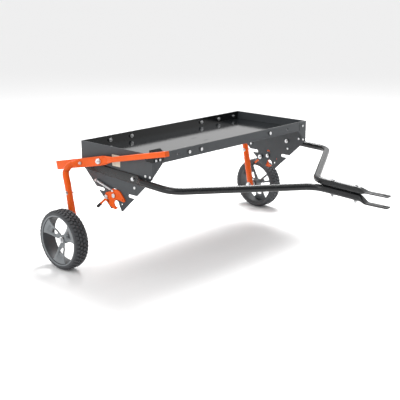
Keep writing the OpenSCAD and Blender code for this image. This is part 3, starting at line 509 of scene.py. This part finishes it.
for side, sign in (("right", -1), ("left", 1)):
    stations = []
    for k in range(7):
        a = pi / 2 * max(k, 0.6) / 6
        stations.append((on_lever(ARM_NOSE - 10 * (1 - cos(a)), ARM_FLAT_U, sign), lever_back,
                         FLAT_HALF, 3 + (NOSE_HALF - 3) * sin(a), ARM_EDGE_R))
    for k in range(1, 9):
        t = ease(k / 8)
        stations.append((on_lever(blend(ARM_NOSE - 10, ARM_WIDE_FROM, k / 8), ARM_FLAT_U, sign),
                         lever_back, FLAT_HALF, blend(NOSE_HALF, REAR_HALF, t), ARM_EDGE_R))
    for k in range(13):
        t = ease(k / 12)
        half = blend(FLAT_HALF, TUBE_R, t)
        stations.append((on_lever(blend(ARM_WIDE_TO, ARM_ROUND_FROM, k / 12),
                                  blend(ARM_FLAT_U, ARM_ROUND_U, t), sign),
                         lever_back, half, blend(REAR_HALF, TUBE_R, t), half * NEAR_ROUND))
    route = bent_route([on_lever(ARM_ROUND_FROM, ARM_ROUND_U, sign),
                        on_lever(ARM_ROUND_FROM - 9, ARM_ROUND_U + 1, sign),
                        at(ELBOW[0], sign * LEG_U, ELBOW[1]),
                        at(leg_x(KNEE_Z) + 1, sign * LEG_U, KNEE_Z),
                        at(leg_x(JOINT_Z), sign * LEG_U, JOINT_Z)], ARM_BENDS)
    for place, ahead in route[1:]:
        stations.append((place, ahead, TUBE_R, TUBE_R, TUBE_R))
    arm = new_piece("wheel_arm_tube_" + side, loft("wheel_arm_" + side, stations), orange_coat)
    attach(arm, "lift")
    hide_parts("wheel_arm_" + side)

    down = (at(leg_x(FOOT_Z), 0, FOOT_Z) - at(leg_x(JOINT_Z), 0, JOINT_Z)).normalized()
    stations = []
    for z, r in ((JOINT_Z + 30, NECK_R), (JOINT_Z - 0.3, NECK_R), (JOINT_Z - 0.4, 12.6),
                 (JOINT_Z - 2.2, LEG_R), (FOOT_Z + 3, LEG_R), (FOOT_Z + 1.4, LEG_R - 0.6),
                 (FOOT_Z + 0.6, LEG_R - 2), (FOOT_Z + 1.2, LEG_R - 3),
                 (FOOT_Z + 7, LEG_R - 3.4)):
        stations.append((at(leg_x(z), sign * LEG_U, z), down, r, r, r))
    leg = new_piece("wheel_leg_" + side, loft("wheel_leg_" + side, stations), orange_coat)
    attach(leg, "lift")
    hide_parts("lower_leg_" + side)

# ---- Zinc fasteners ----
# Bright zinc plated hex bolts with washers and nuts, rivets, pins and axle sleeves. Their
# places are read from the part; each head stands at its own random turn.
HEAD_CORNER, HEAD_HEIGHT, NUT_HEIGHT = 0.95, 0.62, 0.75
HEAD_WASHER, NUT_WASHER = 1.5, 1.2
FRESH_ZINC, YELLOWED_ZINC = (0.74, 0.75, 0.77, 1), (0.66, 0.65, 0.60, 1)
RUBBED_ZINC = (0.88, 0.88, 0.88, 1)
THREAD_PITCH = 0.00125
zinc, start, shader = new_finish("zinc_plate")
place = start.node("ShaderNodeTexCoord", out="Object")
edge, normal = edge_mask(start, 0.0005)
bloom = noise(start, place, 160.0, 4.0, 0.6)
scuff = noise(start, place, 1500.0, 2.0)
yellowed = bloom.ramp(0.45, 0.75)
feed(start.tree, shader, {
    "Base Color": (edge * 0.5).mix(yellowed.mix(FRESH_ZINC, YELLOWED_ZINC), RUBBED_ZINC),
    "Metallic": 1.0,
    "Roughness": 0.2 + bloom * 0.16 + scuff * 0.08,
    "Normal": start.node("ShaderNodeBump", {}, {"Height": scuff, "Strength": 0.12,
                         "Distance": 0.0002, "Normal": normal})})
for name in nodes:
    if name.startswith(("axle_", "side_plate_rivets", "arm_bolt", "claw_pin",
                        "spring_anchors")):
        paint_nodes(zinc, name)


def new_tree(name, inputs):
    """A geometry tree with named inputs; returns it, its first wire and a wire for each."""
    tree = bpy.data.node_groups.new(name, "GeometryNodeTree")
    tree.interface.new_socket("Geometry", in_out="OUTPUT", socket_type="NodeSocketGeometry")
    tree.interface.new_socket("Geometry", in_out="INPUT", socket_type="NodeSocketGeometry")
    for label, kind in inputs:
        tree.interface.new_socket(label, in_out="INPUT", socket_type="NodeSocket" + kind)
    entry = tree.nodes.new("NodeGroupInput")
    put = {socket.name: Wire(tree, socket) for socket in entry.outputs if socket.name}
    return tree, Wire(tree), put


def close_tree(start, shape, finish):
    """Ends a tree in plain geometry with its material."""
    plain = start.node("GeometryNodeRealizeInstances", {}, {"Geometry": shape})
    done = start.node("GeometryNodeSetMaterial", {}, {"Geometry": plain, "Material": finish})
    leave = start.tree.nodes.new("NodeGroupOutput")
    start.tree.links.new(done.socket, leave.inputs[0])


def grow(name, tree, verts, values, attributes=None, smooth=35):
    """Runs a geometry tree on loose points and keeps its result as a plain mesh."""
    mesh = bpy.data.meshes.new(name)
    mesh.from_pydata([tuple(v) for v in verts], [], [])
    for key, vectors in (attributes or {}).items():
        layer = mesh.attributes.new(key, "FLOAT_VECTOR", "POINT")
        for item, vector in zip(layer.data, vectors):
            item.vector = vector
    made = new_piece(name, mesh)
    modifier = made.modifiers.new(name, "NODES")
    modifier.node_group = tree
    for item in tree.interface.items_tree:
        if item.in_out == "INPUT" and item.name in values:
            modifier[item.identifier] = values[item.name]
    shape = bpy.data.meshes.new_from_object(
        made.evaluated_get(bpy.context.evaluated_depsgraph_get()))
    made.modifiers.clear()
    made.data = shape
    shape.shade_smooth()
    shape.set_sharp_from_angle(angle=radians(smooth))
    return made


hex_tree, start, put = new_tree("hex_fasteners", [
    ("Corner radius", "Float"), ("Head height", "Float"), ("Washer radius", "Float"),
    ("Washer thickness", "Float"), ("Shank radius", "Float"), ("Shank length", "Float"),
    ("Thread length", "Float"), ("Seed", "Int")])


def raised(shape, height):
    """A shape moved along the fastener's axis."""
    return start.node("GeometryNodeTransform", {}, {
        "Geometry": shape, "Translation": start.node("ShaderNodeCombineXYZ", {}, {
            "Z": height})})


prism = start.node("GeometryNodeMeshCylinder", {}, {
    "Vertices": 6, "Radius": put["Corner radius"], "Depth": put["Head height"]})
cone = start.node("GeometryNodeMeshCone", {}, {
    "Vertices": 24, "Radius Top": put["Corner radius"] * 0.86,
    "Radius Bottom": put["Corner radius"] * 1.35, "Depth": put["Head height"] * 1.02})
cone = raised(cone, put["Head height"] * -0.51)
prism = raised(prism, put["Head height"] * -0.5)
head = start.node("GeometryNodeMeshBoolean", {"operation": "INTERSECT", "solver": "EXACT"})
for shape in (prism, cone):
    start.tree.links.new(shape.socket, head.socket.node.inputs[1])


def stacked(radius, depth, top, sides):
    """Cylinder whose upper face lies at the height top."""
    shape = start.node("GeometryNodeMeshCylinder", {}, {
        "Vertices": sides, "Radius": radius, "Depth": depth})
    return raised(shape, top - depth * 0.5)


under = put["Head height"] * -1.0
washer = stacked(put["Washer radius"], put["Washer thickness"], under, 32)
shank = stacked(put["Shank radius"], put["Shank length"], under, 20)
turns = start.node("GeometryNodeMeshLine", {"mode": "OFFSET"}, {
    "Count": start.node("FunctionNodeFloatToInt", {"rounding_mode": "CEILING"},
                        {0: put["Thread length"] / THREAD_PITCH}),
    "Offset": (0, 0, THREAD_PITCH)})
tooth = start.node("GeometryNodeMeshCone", {}, {
    "Vertices": 20, "Radius Top": put["Shank radius"] * 0.86,
    "Radius Bottom": put["Shank radius"] * 1.0, "Depth": THREAD_PITCH})
turns = start.node("GeometryNodeInstanceOnPoints", {}, {"Points": turns, "Instance": tooth})
whole = start.node("GeometryNodeJoinGeometry")
for shape in (head, washer, shank, turns):
    start.tree.links.new(shape.socket, whole.socket.node.inputs[0])
facing = start.node("GeometryNodeInputNamedAttribute", {"data_type": "FLOAT_VECTOR"},
                    {"Name": "outward"})
stand = start.node("FunctionNodeAlignRotationToVector", {"axis": "Z"}, {"Vector": facing})
spin = start.node("FunctionNodeRandomValue", {"data_type": "FLOAT"},
                  {2: 0.0, 3: pi / 3, "Seed": put["Seed"]}, out=1)
spin = start.node("ShaderNodeCombineXYZ", {}, {"Z": spin})
stand = start.node("FunctionNodeRotateRotation", {"rotation_space": "LOCAL"},
                   {"Rotation": stand, "Rotate By": spin})
close_tree(start, start.node("GeometryNodeInstanceOnPoints", {}, {
    "Points": put["Geometry"], "Instance": whole, "Rotation": stand}), zinc)


def loose_solids(node):
    """The vertices of each separate solid of a CAD node."""
    work = bmesh.new()
    work.from_mesh(nodes[node].data)
    bmesh.ops.remove_doubles(work, verts=work.verts, dist=1e-6)
    seen, solids = set(), []
    for vert in work.verts:
        if vert in seen:
            continue
        group, queue = [], [vert]
        seen.add(vert)
        while queue:
            one = queue.pop()
            group.append(one.co.copy())
            for edge in one.link_edges:
                other = edge.other_vert(one)
                if other not in seen:
                    seen.add(other)
                    queue.append(other)
        solids.append(group)
    work.free()
    return solids


END_BAND, HEAD_STEP = 3e-4, 5e-4


def end_widths(solid, axis):
    """Middle line, ends and the width at each end of a solid along an axis."""
    others = [i for i in range(3) if i != axis]
    low = min(v[axis] for v in solid)
    high = max(v[axis] for v in solid)
    middle = Vector((0, 0, 0))
    for i in others:
        middle[i] = (min(v[i] for v in solid) + max(v[i] for v in solid)) / 2

    def width(level):
        return max(sqrt(sum((v[i] - middle[i]) ** 2 for i in others))
                   for v in solid if abs(v[axis] - level) < END_BAND)
    return middle, low, high, width(low), width(high)


def dress_bolts(name, node, axis, size, body, seed, washer=1.1):
    """Puts detailed heads and nuts where a CAD node has its plain bolts."""
    heads, nuts = [], []
    for solid in loose_solids(node):
        middle, low, high, wide_low, wide_high = end_widths(solid, axis)
        if abs(wide_low - wide_high) > HEAD_STEP:
            sign = 1 if wide_high > wide_low else -1
            middle[axis] = high if sign > 0 else low
            heads.append((middle, sign))
        else:
            nuts.append((middle, low, high))
    d = size * MM
    direction = [Vector((0, 0, 0)) for _ in heads]
    for way, (_, sign) in zip(direction, heads):
        way[axis] = sign
    sizes = {"Corner radius": HEAD_CORNER * d, "Head height": HEAD_HEIGHT * d,
             "Washer radius": washer * d, "Washer thickness": HEAD_WASHER * MM,
             "Shank radius": d / 2, "Shank length": 0.9 * d, "Thread length": 0.0,
             "Seed": seed}
    made = [grow(name + "_heads", hex_tree, [h[0] for h in heads], sizes,
                 {"outward": direction})]
    if nuts:
        places, ways = [], []
        for middle, low, high in nuts:
            partner = min(heads, key=lambda h: sum((h[0][i] - middle[i]) ** 2
                                                   for i in range(3) if i != axis))
            way = Vector((0, 0, 0))
            way[axis] = -partner[1]
            middle[axis] = low if partner[1] > 0 else high
            places.append(middle)
            ways.append(way)
        sizes.update({"Head height": NUT_HEIGHT * d, "Washer thickness": NUT_WASHER * MM,
                      "Shank length": 0.75 * d, "Thread length": 0.4 * d, "Seed": seed + 1})
        made.append(grow(name + "_nuts", hex_tree, places, sizes, {"outward": ways}))
    for piece in made:
        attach(piece, body)
        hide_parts(node)


X, Y, Z = range(3)
dress_bolts("rail_bolt", "rail_bolts", X, 8, "chassis", 11)
dress_bolts("corner_bolt", "corner_bolts", X, 6, "chassis", 21)
dress_bolts("catch_bolt", "catch_bolts", X, 6, "chassis", 31)
dress_bolts("drawbar_bolt", "drawbar_bolts", Y, 8, "chassis", 41)
dress_bolts("tongue_bolt", "tongue_bolts", Z, 8, "chassis", 51)
dress_bolts("latch_stop", "latch_stops", Y, 10, "chassis", 61)
for side in ("right", "left"):
    dress_bolts("latch_pivot_" + side, "latch_pivot_" + side, Y, 10.6, "chassis", 71)
    dress_bolts("pivot_bolt_" + side, "pivot_bolt_" + side, Y, 10, "lift", 91)
    dress_bolts("leg_bolt_" + side, "leg_bolt_" + side, Y, 8, "lift", 81)

# ---- Wheels ----
# Moulded grey wheel with three broad forked spokes that fan out to the lip, its barrel's
# inside darkened as painted shade, and a solid rubber tyre with a smooth sidewall and four
# staggered rows of tread blocks.
tyre_low, tyre_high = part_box("tyre_left")
TREAD_R = (tyre_high.z - tyre_low.z) / 2 / MM
HALF_TYRE = (tyre_high.y - tyre_low.y) / 2 / MM
RIM_SEAT, HUB_R = 106, 19
WHEEL_SEGMENTS = 96
SPOKE_ANGLES = (28, 148, 268)


def lathe(profile, centre, sign):
    """Closed ring: a profile of (radius, distance outwards) turned about a wheel's axle."""
    verts, faces = [], []
    count = len(profile)
    for i in range(WHEEL_SEGMENTS):
        a = 2 * pi * i / WHEEL_SEGMENTS
        for r, out in profile:
            verts.append(centre + Vector((r * cos(a), sign * out, r * sin(a))) * MM)
    for i in range(WHEEL_SEGMENTS):
        j = (i + 1) % WHEEL_SEGMENTS
        for k in range(count):
            n = (k + 1) % count
            faces.append((i * count + k, i * count + n, j * count + n, j * count + k))
    return verts, faces


HUB_HALF_WIDTH, SPREAD, LIP_FLARE = 14.5, 25, 9
HUB_FACE, LIP_INSET = 8, 13


def spoke_half_width(r):
    """Half the width of a spoke: narrow at the hub, spreading in a curve to the lip."""
    t = max(0, (r - HUB_R) / (RIM_SEAT - HUB_R))
    return HUB_HALF_WIDTH + SPREAD * t ** 1.2 + LIP_FLARE * t ** 7


def spoke_front(r):
    """How far out a spoke's face lies: deep at the hub, flush at the lip."""
    t = min(1, max(0, (r - HUB_R) / (RIM_SEAT - 8 - HUB_R)))
    return HUB_FACE + (HALF_TYRE - LIP_INSET) * t ** 0.75


SPOKE_RADII = [14, 20, 27, 33, 38, 45, 52, 59, 65, 70, 77, 84, 91, 98, 101]
SPOKE_ACROSS = [-1, -0.95, -0.8, -0.6, -0.46, -0.22, 0, 0.22, 0.46, 0.6, 0.8, 0.95, 1]
POCKET_FROM, POCKET_TO, HOLE_TO = 36, 80, 60
POCKET_HALF, POCKET_DEPTH, EDGE_DROP = 0.5, 7, 1.5
HOLE_COLUMNS = range(4, 8)
FORK_HALF, FORK_FROM, FORK_LENGTH, FORK_NARROW = 0.6, 28, 32, 0.45


def spoke_mesh(angle):
    """Front sheet of one forked spoke, open in its pocket, as rows from hub to lip."""
    rows, kept = [], []
    for r in SPOKE_RADII:
        row = []
        for t in SPOKE_ACROSS:
            half = spoke_half_width(r)
            if abs(t) <= FORK_HALF:
                t *= min(1, FORK_NARROW + 0.55 * max(0, r - FORK_FROM) / FORK_LENGTH)
            turn = radians(angle) + t * half / max(r, 24)
            sunk = abs(t) < POCKET_HALF and POCKET_FROM <= r <= POCKET_TO
            out = spoke_front(r) - (POCKET_DEPTH if sunk else 0)
            if abs(t) > 0.97:
                out -= EDGE_DROP
            row.append((r * cos(turn), out, r * sin(turn)))
        rows.append(row)
    for i, r in enumerate(SPOKE_RADII[:-1]):
        for k in range(len(SPOKE_ACROSS) - 1):
            if not (POCKET_FROM <= r < HOLE_TO and k in HOLE_COLUMNS):
                kept.append((i, k))
    return rows, kept, len(SPOKE_ACROSS)


rim_grey = grained_finish("rim_moulding", (0.20, 0.215, 0.225), 0.42, 0.0012, dust=0.2)
# The barrel's inside is the same grey plastic; its darker colour is painted shade, for the shadow
# inside the barrel behind the spokes.
rim_painted_shade = grained_finish("rim_barrel_painted_shade", (0.050, 0.054, 0.058), 0.5, 0.0012,
                          dust=0.2)
rubber = grained_finish("tyre_rubber", (0.060, 0.063, 0.068), 0.62, 0.0008, dust=1.0)
tread_tree, start, put = new_tree("tread_blocks", [
    ("Blocks per row", "Int"), ("Rows", "Int"), ("Row spacing", "Float"),
    ("Tread radius", "Float"), ("Shoulder drop", "Float"), ("Shoulder tilt", "Float"),
    ("Block length", "Float"), ("Block width", "Float"), ("Block depth", "Float"),
    ("Axle", "Vector"), ("Seed", "Int")])
points = start.node("GeometryNodeMeshLine", {}, {
    "Count": start.node("FunctionNodeFloatToInt", {}, {
        0: put["Blocks per row"] * put["Rows"]}), "Offset": (0, 0, 0)})
index = start.node("GeometryNodeInputIndex")
row = index % put["Rows"]
step = (index / put["Rows"]).math("FLOOR")
turn = (step + (row % 2.0) * 0.5) * (2 * pi) / put["Blocks per row"]
off = row - (put["Rows"] - 1) * 0.5
hand = off.math("SIGN")
outer = off.math("ABSOLUTE").math("GREATER_THAN", 1.0)
radius = put["Tread radius"] - outer * put["Shoulder drop"]
spot = start.node("ShaderNodeCombineXYZ", {}, {
    "X": radius * turn.math("COSINE"), "Y": off * put["Row spacing"],
    "Z": radius * turn.math("SINE")})
spot = start.node("ShaderNodeVectorMath", {"operation": "ADD"}, {0: spot, 1: put["Axle"]})
points = start.node("GeometryNodeSetPosition", {}, {"Geometry": points, "Position": spot})
block = start.node("GeometryNodeMeshCone", {}, {
    "Vertices": 4, "Radius Top": 0.58, "Radius Bottom": 0.72, "Depth": 1.0})
block = start.node("GeometryNodeTransform", {}, {
    "Geometry": block, "Rotation": (0, 0, pi / 4), "Translation": (0, 0, -1.0)})
skew = start.node("FunctionNodeRandomValue", {"data_type": "FLOAT"},
                  {2: -0.03, 3: 0.03, "Seed": put["Seed"]}, out=1)
lean = start.node("ShaderNodeCombineXYZ", {}, {
    "X": hand * outer * put["Shoulder tilt"] * -1.0,
    "Y": pi / 2 - turn, "Z": 0.0})
lean = start.node("FunctionNodeEulerToRotation", {}, {0: lean})
cant = start.node("ShaderNodeCombineXYZ", {}, {
    "Z": skew + hand * (0.42 - outer * 0.3)})
lean = start.node("FunctionNodeRotateRotation", {"rotation_space": "LOCAL"},
                  {"Rotation": lean, "Rotate By": start.node(
                      "FunctionNodeEulerToRotation", {}, {0: cant})})
spread = start.node("ShaderNodeCombineXYZ", {}, {
    "X": put["Block length"], "Y": put["Block width"] * (1 + outer * 0.25),
    "Z": put["Block depth"]})
close_tree(start, start.node("GeometryNodeInstanceOnPoints", {}, {
    "Points": points, "Instance": block, "Rotation": lean, "Scale": spread}), rubber)

h = HALF_TYRE
BARREL = [(104.8, 4 - h), (104.8, h - 6), (107, h - 3.8), (108.2, h - 2), (107.4, h - 0.6),
          (105.2, h - 0.6), (102.2, h - 3), (100.2, h - 7), (98.4, 10), (97.6, -10),
          (98, 6 - h), (100, 4 - h)]
HUB = [(9.3, -h - 1.6), (17.6, -h - 1.6), (HUB_R, -h), (HUB_R, 6), (17, 8.6), (13, 8.8),
       (12.6, 7), (9.3, 7)]
SIDEWALL = [(105.2, h - 4), (107, h - 1.8), (111, h - 0.6), (115.5, h - 0.3),
            (118.4, h - 2.2), (120.4, h - 7), (121, h - 18)]
CARCASS = SIDEWALL + [(121.2, 0)] + [(r, -out) for r, out in reversed(SIDEWALL)]
BARREL_INSIDE_R, LIP_DEPTH, SPOKE_WALL = 90, 4, 7
BLOCKS, BLOCK_ROWS, ROW_SPACING = 44, 4, 15.6
BLOCK_LENGTH, BLOCK_WIDTH, BLOCK_DEPTH = 13.2, 13.6, 8
FLOOR_CLEARANCE, SHOULDER_DROP, SHOULDER_TILT = 0.9, 1.6, 0.36
for side, sign in (("right", -1), ("left", 1)):
    low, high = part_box("tyre_" + side)
    centre = (low + high) / 2
    body = "wheel_" + side
    verts, faces = lathe(BARREL, centre, sign)
    hub_verts, hub_faces = lathe(HUB, centre, sign)
    faces += [tuple(len(verts) + i for i in face) for face in hub_faces]
    verts += hub_verts
    rim = new_piece("wheel_rim_moulding_" + side, mesh_of("rim", verts, faces), rim_grey,
                    rim_painted_shade)
    # Faces inside the barrel, behind the lip, take the painted shade.
    for face in rim.data.polygons:
        middle = (face.center - centre) / MM
        reach = sqrt(middle.x ** 2 + middle.z ** 2)
        if reach > BARREL_INSIDE_R and sign * middle.y < HALF_TYRE - LIP_DEPTH:
            face.material_index = 1

    verts, faces = [], []
    for angle in SPOKE_ANGLES:
        rows, kept, count = spoke_mesh(angle)
        base = len(verts)
        for row in rows:
            verts += [centre + Vector((x, sign * out, z)) * MM for x, out, z in row]
        for i, k in kept:
            a = base + i * count + k
            face = (a, a + 1, a + count + 1, a + count)
            faces.append(face if sign > 0 else face[::-1])
    mesh = bpy.data.meshes.new("spokes")
    mesh.from_pydata([tuple(v) for v in verts], [], faces)
    spokes = new_piece("wheel_spokes_" + side, mesh, rim_grey)
    wall = spokes.modifiers.new("wall", "SOLIDIFY")
    wall.thickness = SPOKE_WALL * MM
    wall.offset = -1
    soften = spokes.modifiers.new("soften", "SUBSURF")
    soften.levels = soften.render_levels = 2
    mesh = bpy.data.meshes.new_from_object(
        spokes.evaluated_get(bpy.context.evaluated_depsgraph_get()))
    spokes.modifiers.clear()
    spokes.data = mesh
    mesh.shade_smooth()
    mesh.set_sharp_from_angle(angle=radians(50))
    for piece in (rim, spokes):
        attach(piece, body)
        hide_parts("wheel_rim_" + side)

    tyre = new_piece("tyre_carcass_" + side, mesh_of(
        "tyre", *lathe(CARCASS, centre, sign), smooth=60), rubber)
    tread = grow("tyre_tread_" + side, tread_tree, [(0, 0, 0)], {
        "Blocks per row": BLOCKS, "Rows": BLOCK_ROWS, "Row spacing": ROW_SPACING * MM,
        "Tread radius": (TREAD_R - FLOOR_CLEARANCE) * MM,
        "Shoulder drop": SHOULDER_DROP * MM, "Shoulder tilt": SHOULDER_TILT,
        "Block length": BLOCK_LENGTH * MM, "Block width": BLOCK_WIDTH * MM,
        "Block depth": BLOCK_DEPTH * MM, "Axle": centre, "Seed": 5}, smooth=20)
    for piece in (tyre, tread):
        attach(piece, body)
        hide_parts("tyre_" + side)
    paint_nodes(nylon, "hub_bush_" + side)

# ---- Latches ----
# Cut steel claw in orange paint on a shouldered bolt, with a rubber grip pushed on its
# handle, and a drawn wire extension spring hooked between the claw and a headed post.
SPRING_U, POST, HOOK = 517, (-326, 367), (-224, 339)
grip_rubber = grained_finish("grip_rubber", (0.016, 0.016, 0.017), 0.6, 0.0012, dust=0.3)
spring_tree, start, put = new_tree("extension_spring", [
    ("From", "Vector"), ("To", "Vector"), ("Coil radius", "Float"), ("Wire radius", "Float"),
    ("Hook length", "Float"), ("Turns", "Float")])
span = start.node("ShaderNodeVectorMath", {"operation": "SUBTRACT"},
                  {0: put["To"], 1: put["From"]})
length = start.node("ShaderNodeVectorMath", {"operation": "LENGTH"}, {0: span}, out="Value")
course = start.node("ShaderNodeVectorMath", {"operation": "NORMALIZE"}, {0: span})


def along_spring(distance):
    """A point on the spring's middle line, from its chassis end."""
    step = start.node("ShaderNodeVectorMath", {"operation": "SCALE"},
                      {0: course, "Scale": distance})
    return start.node("ShaderNodeVectorMath", {"operation": "ADD"}, {0: put["From"], 1: step})


coil = start.node("GeometryNodeCurveSpiral", {}, {
    "Resolution": 20, "Rotations": put["Turns"], "Start Radius": put["Coil radius"],
    "End Radius": put["Coil radius"], "Height": length - put["Hook length"] * 2.0})
lie = start.node("FunctionNodeAlignRotationToVector", {"axis": "Z"}, {"Vector": course})
coil = start.node("GeometryNodeTransform", {}, {
    "Geometry": coil, "Translation": along_spring(put["Hook length"]), "Rotation": lie})
wires = start.node("GeometryNodeJoinGeometry")
start.tree.links.new(coil.socket, wires.socket.node.inputs[0])
for centre, near in ((put["From"], put["Hook length"]),
                     (put["To"], length - put["Hook length"])):
    eye = start.node("GeometryNodeCurvePrimitiveCircle", {}, {
        "Resolution": 20, "Radius": put["Coil radius"]})
    eye = start.node("GeometryNodeTransform", {}, {
        "Geometry": eye, "Translation": centre, "Rotation": (pi / 2, 0, 0)})
    shank = start.node("GeometryNodeCurvePrimitiveLine", {}, {
        "Start": along_spring(near), "End": centre})
    shank = start.node("GeometryNodeTrimCurve", {}, {"Curve": shank, "End": 0.67})
    for shape in (eye, shank):
        start.tree.links.new(shape.socket, wires.socket.node.inputs[0])
section = start.node("GeometryNodeCurvePrimitiveCircle", {}, {
    "Resolution": 8, "Radius": put["Wire radius"]})
drawn = start.node("GeometryNodeCurveToMesh", {}, {
    "Curve": wires, "Profile Curve": section, "Fill Caps": True})
close_tree(start, drawn, zinc)

COIL_R, WIRE_R, HOOK_LENGTH, COIL_TURNS = 3.5, 0.85, 11, 46.0
for side, sign in (("right", -1), ("left", 1)):
    paint_nodes(orange_coat, "latch_claw_" + side)
    paint_nodes(grip_rubber, "latch_grip_" + side)
    post = at(POST[0], sign * SPRING_U, POST[1])
    hook = at(HOOK[0], sign * SPRING_U, HOOK[1])
    spring = grow("spring_coil_" + side, spring_tree, [(0, 0, 0)], {
        "From": post, "To": hook, "Coil radius": COIL_R * MM, "Wire radius": WIRE_R * MM,
        "Hook length": HOOK_LENGTH * MM, "Turns": COIL_TURNS}, smooth=80)
    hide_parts("latch_spring_" + side)
    "latch_" + side
    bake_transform(spring)

# ---- Floor ----
# The studio's matt white paper, laid under the wheels and well past the lamps. It isn't part
# of the cart.
PAPER_HALF = 60
material, start, shader = new_finish("paper")
place = start.node("ShaderNodeTexCoord", out="Object")
feed(start.tree, shader, {
    "Base Color": noise(start, place, 30.0).mix((0.90, 0.90, 0.90, 1), (0.88, 0.88, 0.88, 1)),
    "Roughness": 0.9, "Emission Color": (1, 1, 1, 1), "Emission Strength": 0.02})
mesh = bpy.data.meshes.new("floor")
mesh.from_pydata([(-PAPER_HALF, -PAPER_HALF, 0), (PAPER_HALF, -PAPER_HALF, 0),
                  (PAPER_HALF, PAPER_HALF, 0), (-PAPER_HALF, PAPER_HALF, 0)], [],
                 [(0, 1, 2, 3)])
new_piece("floor", mesh, material)
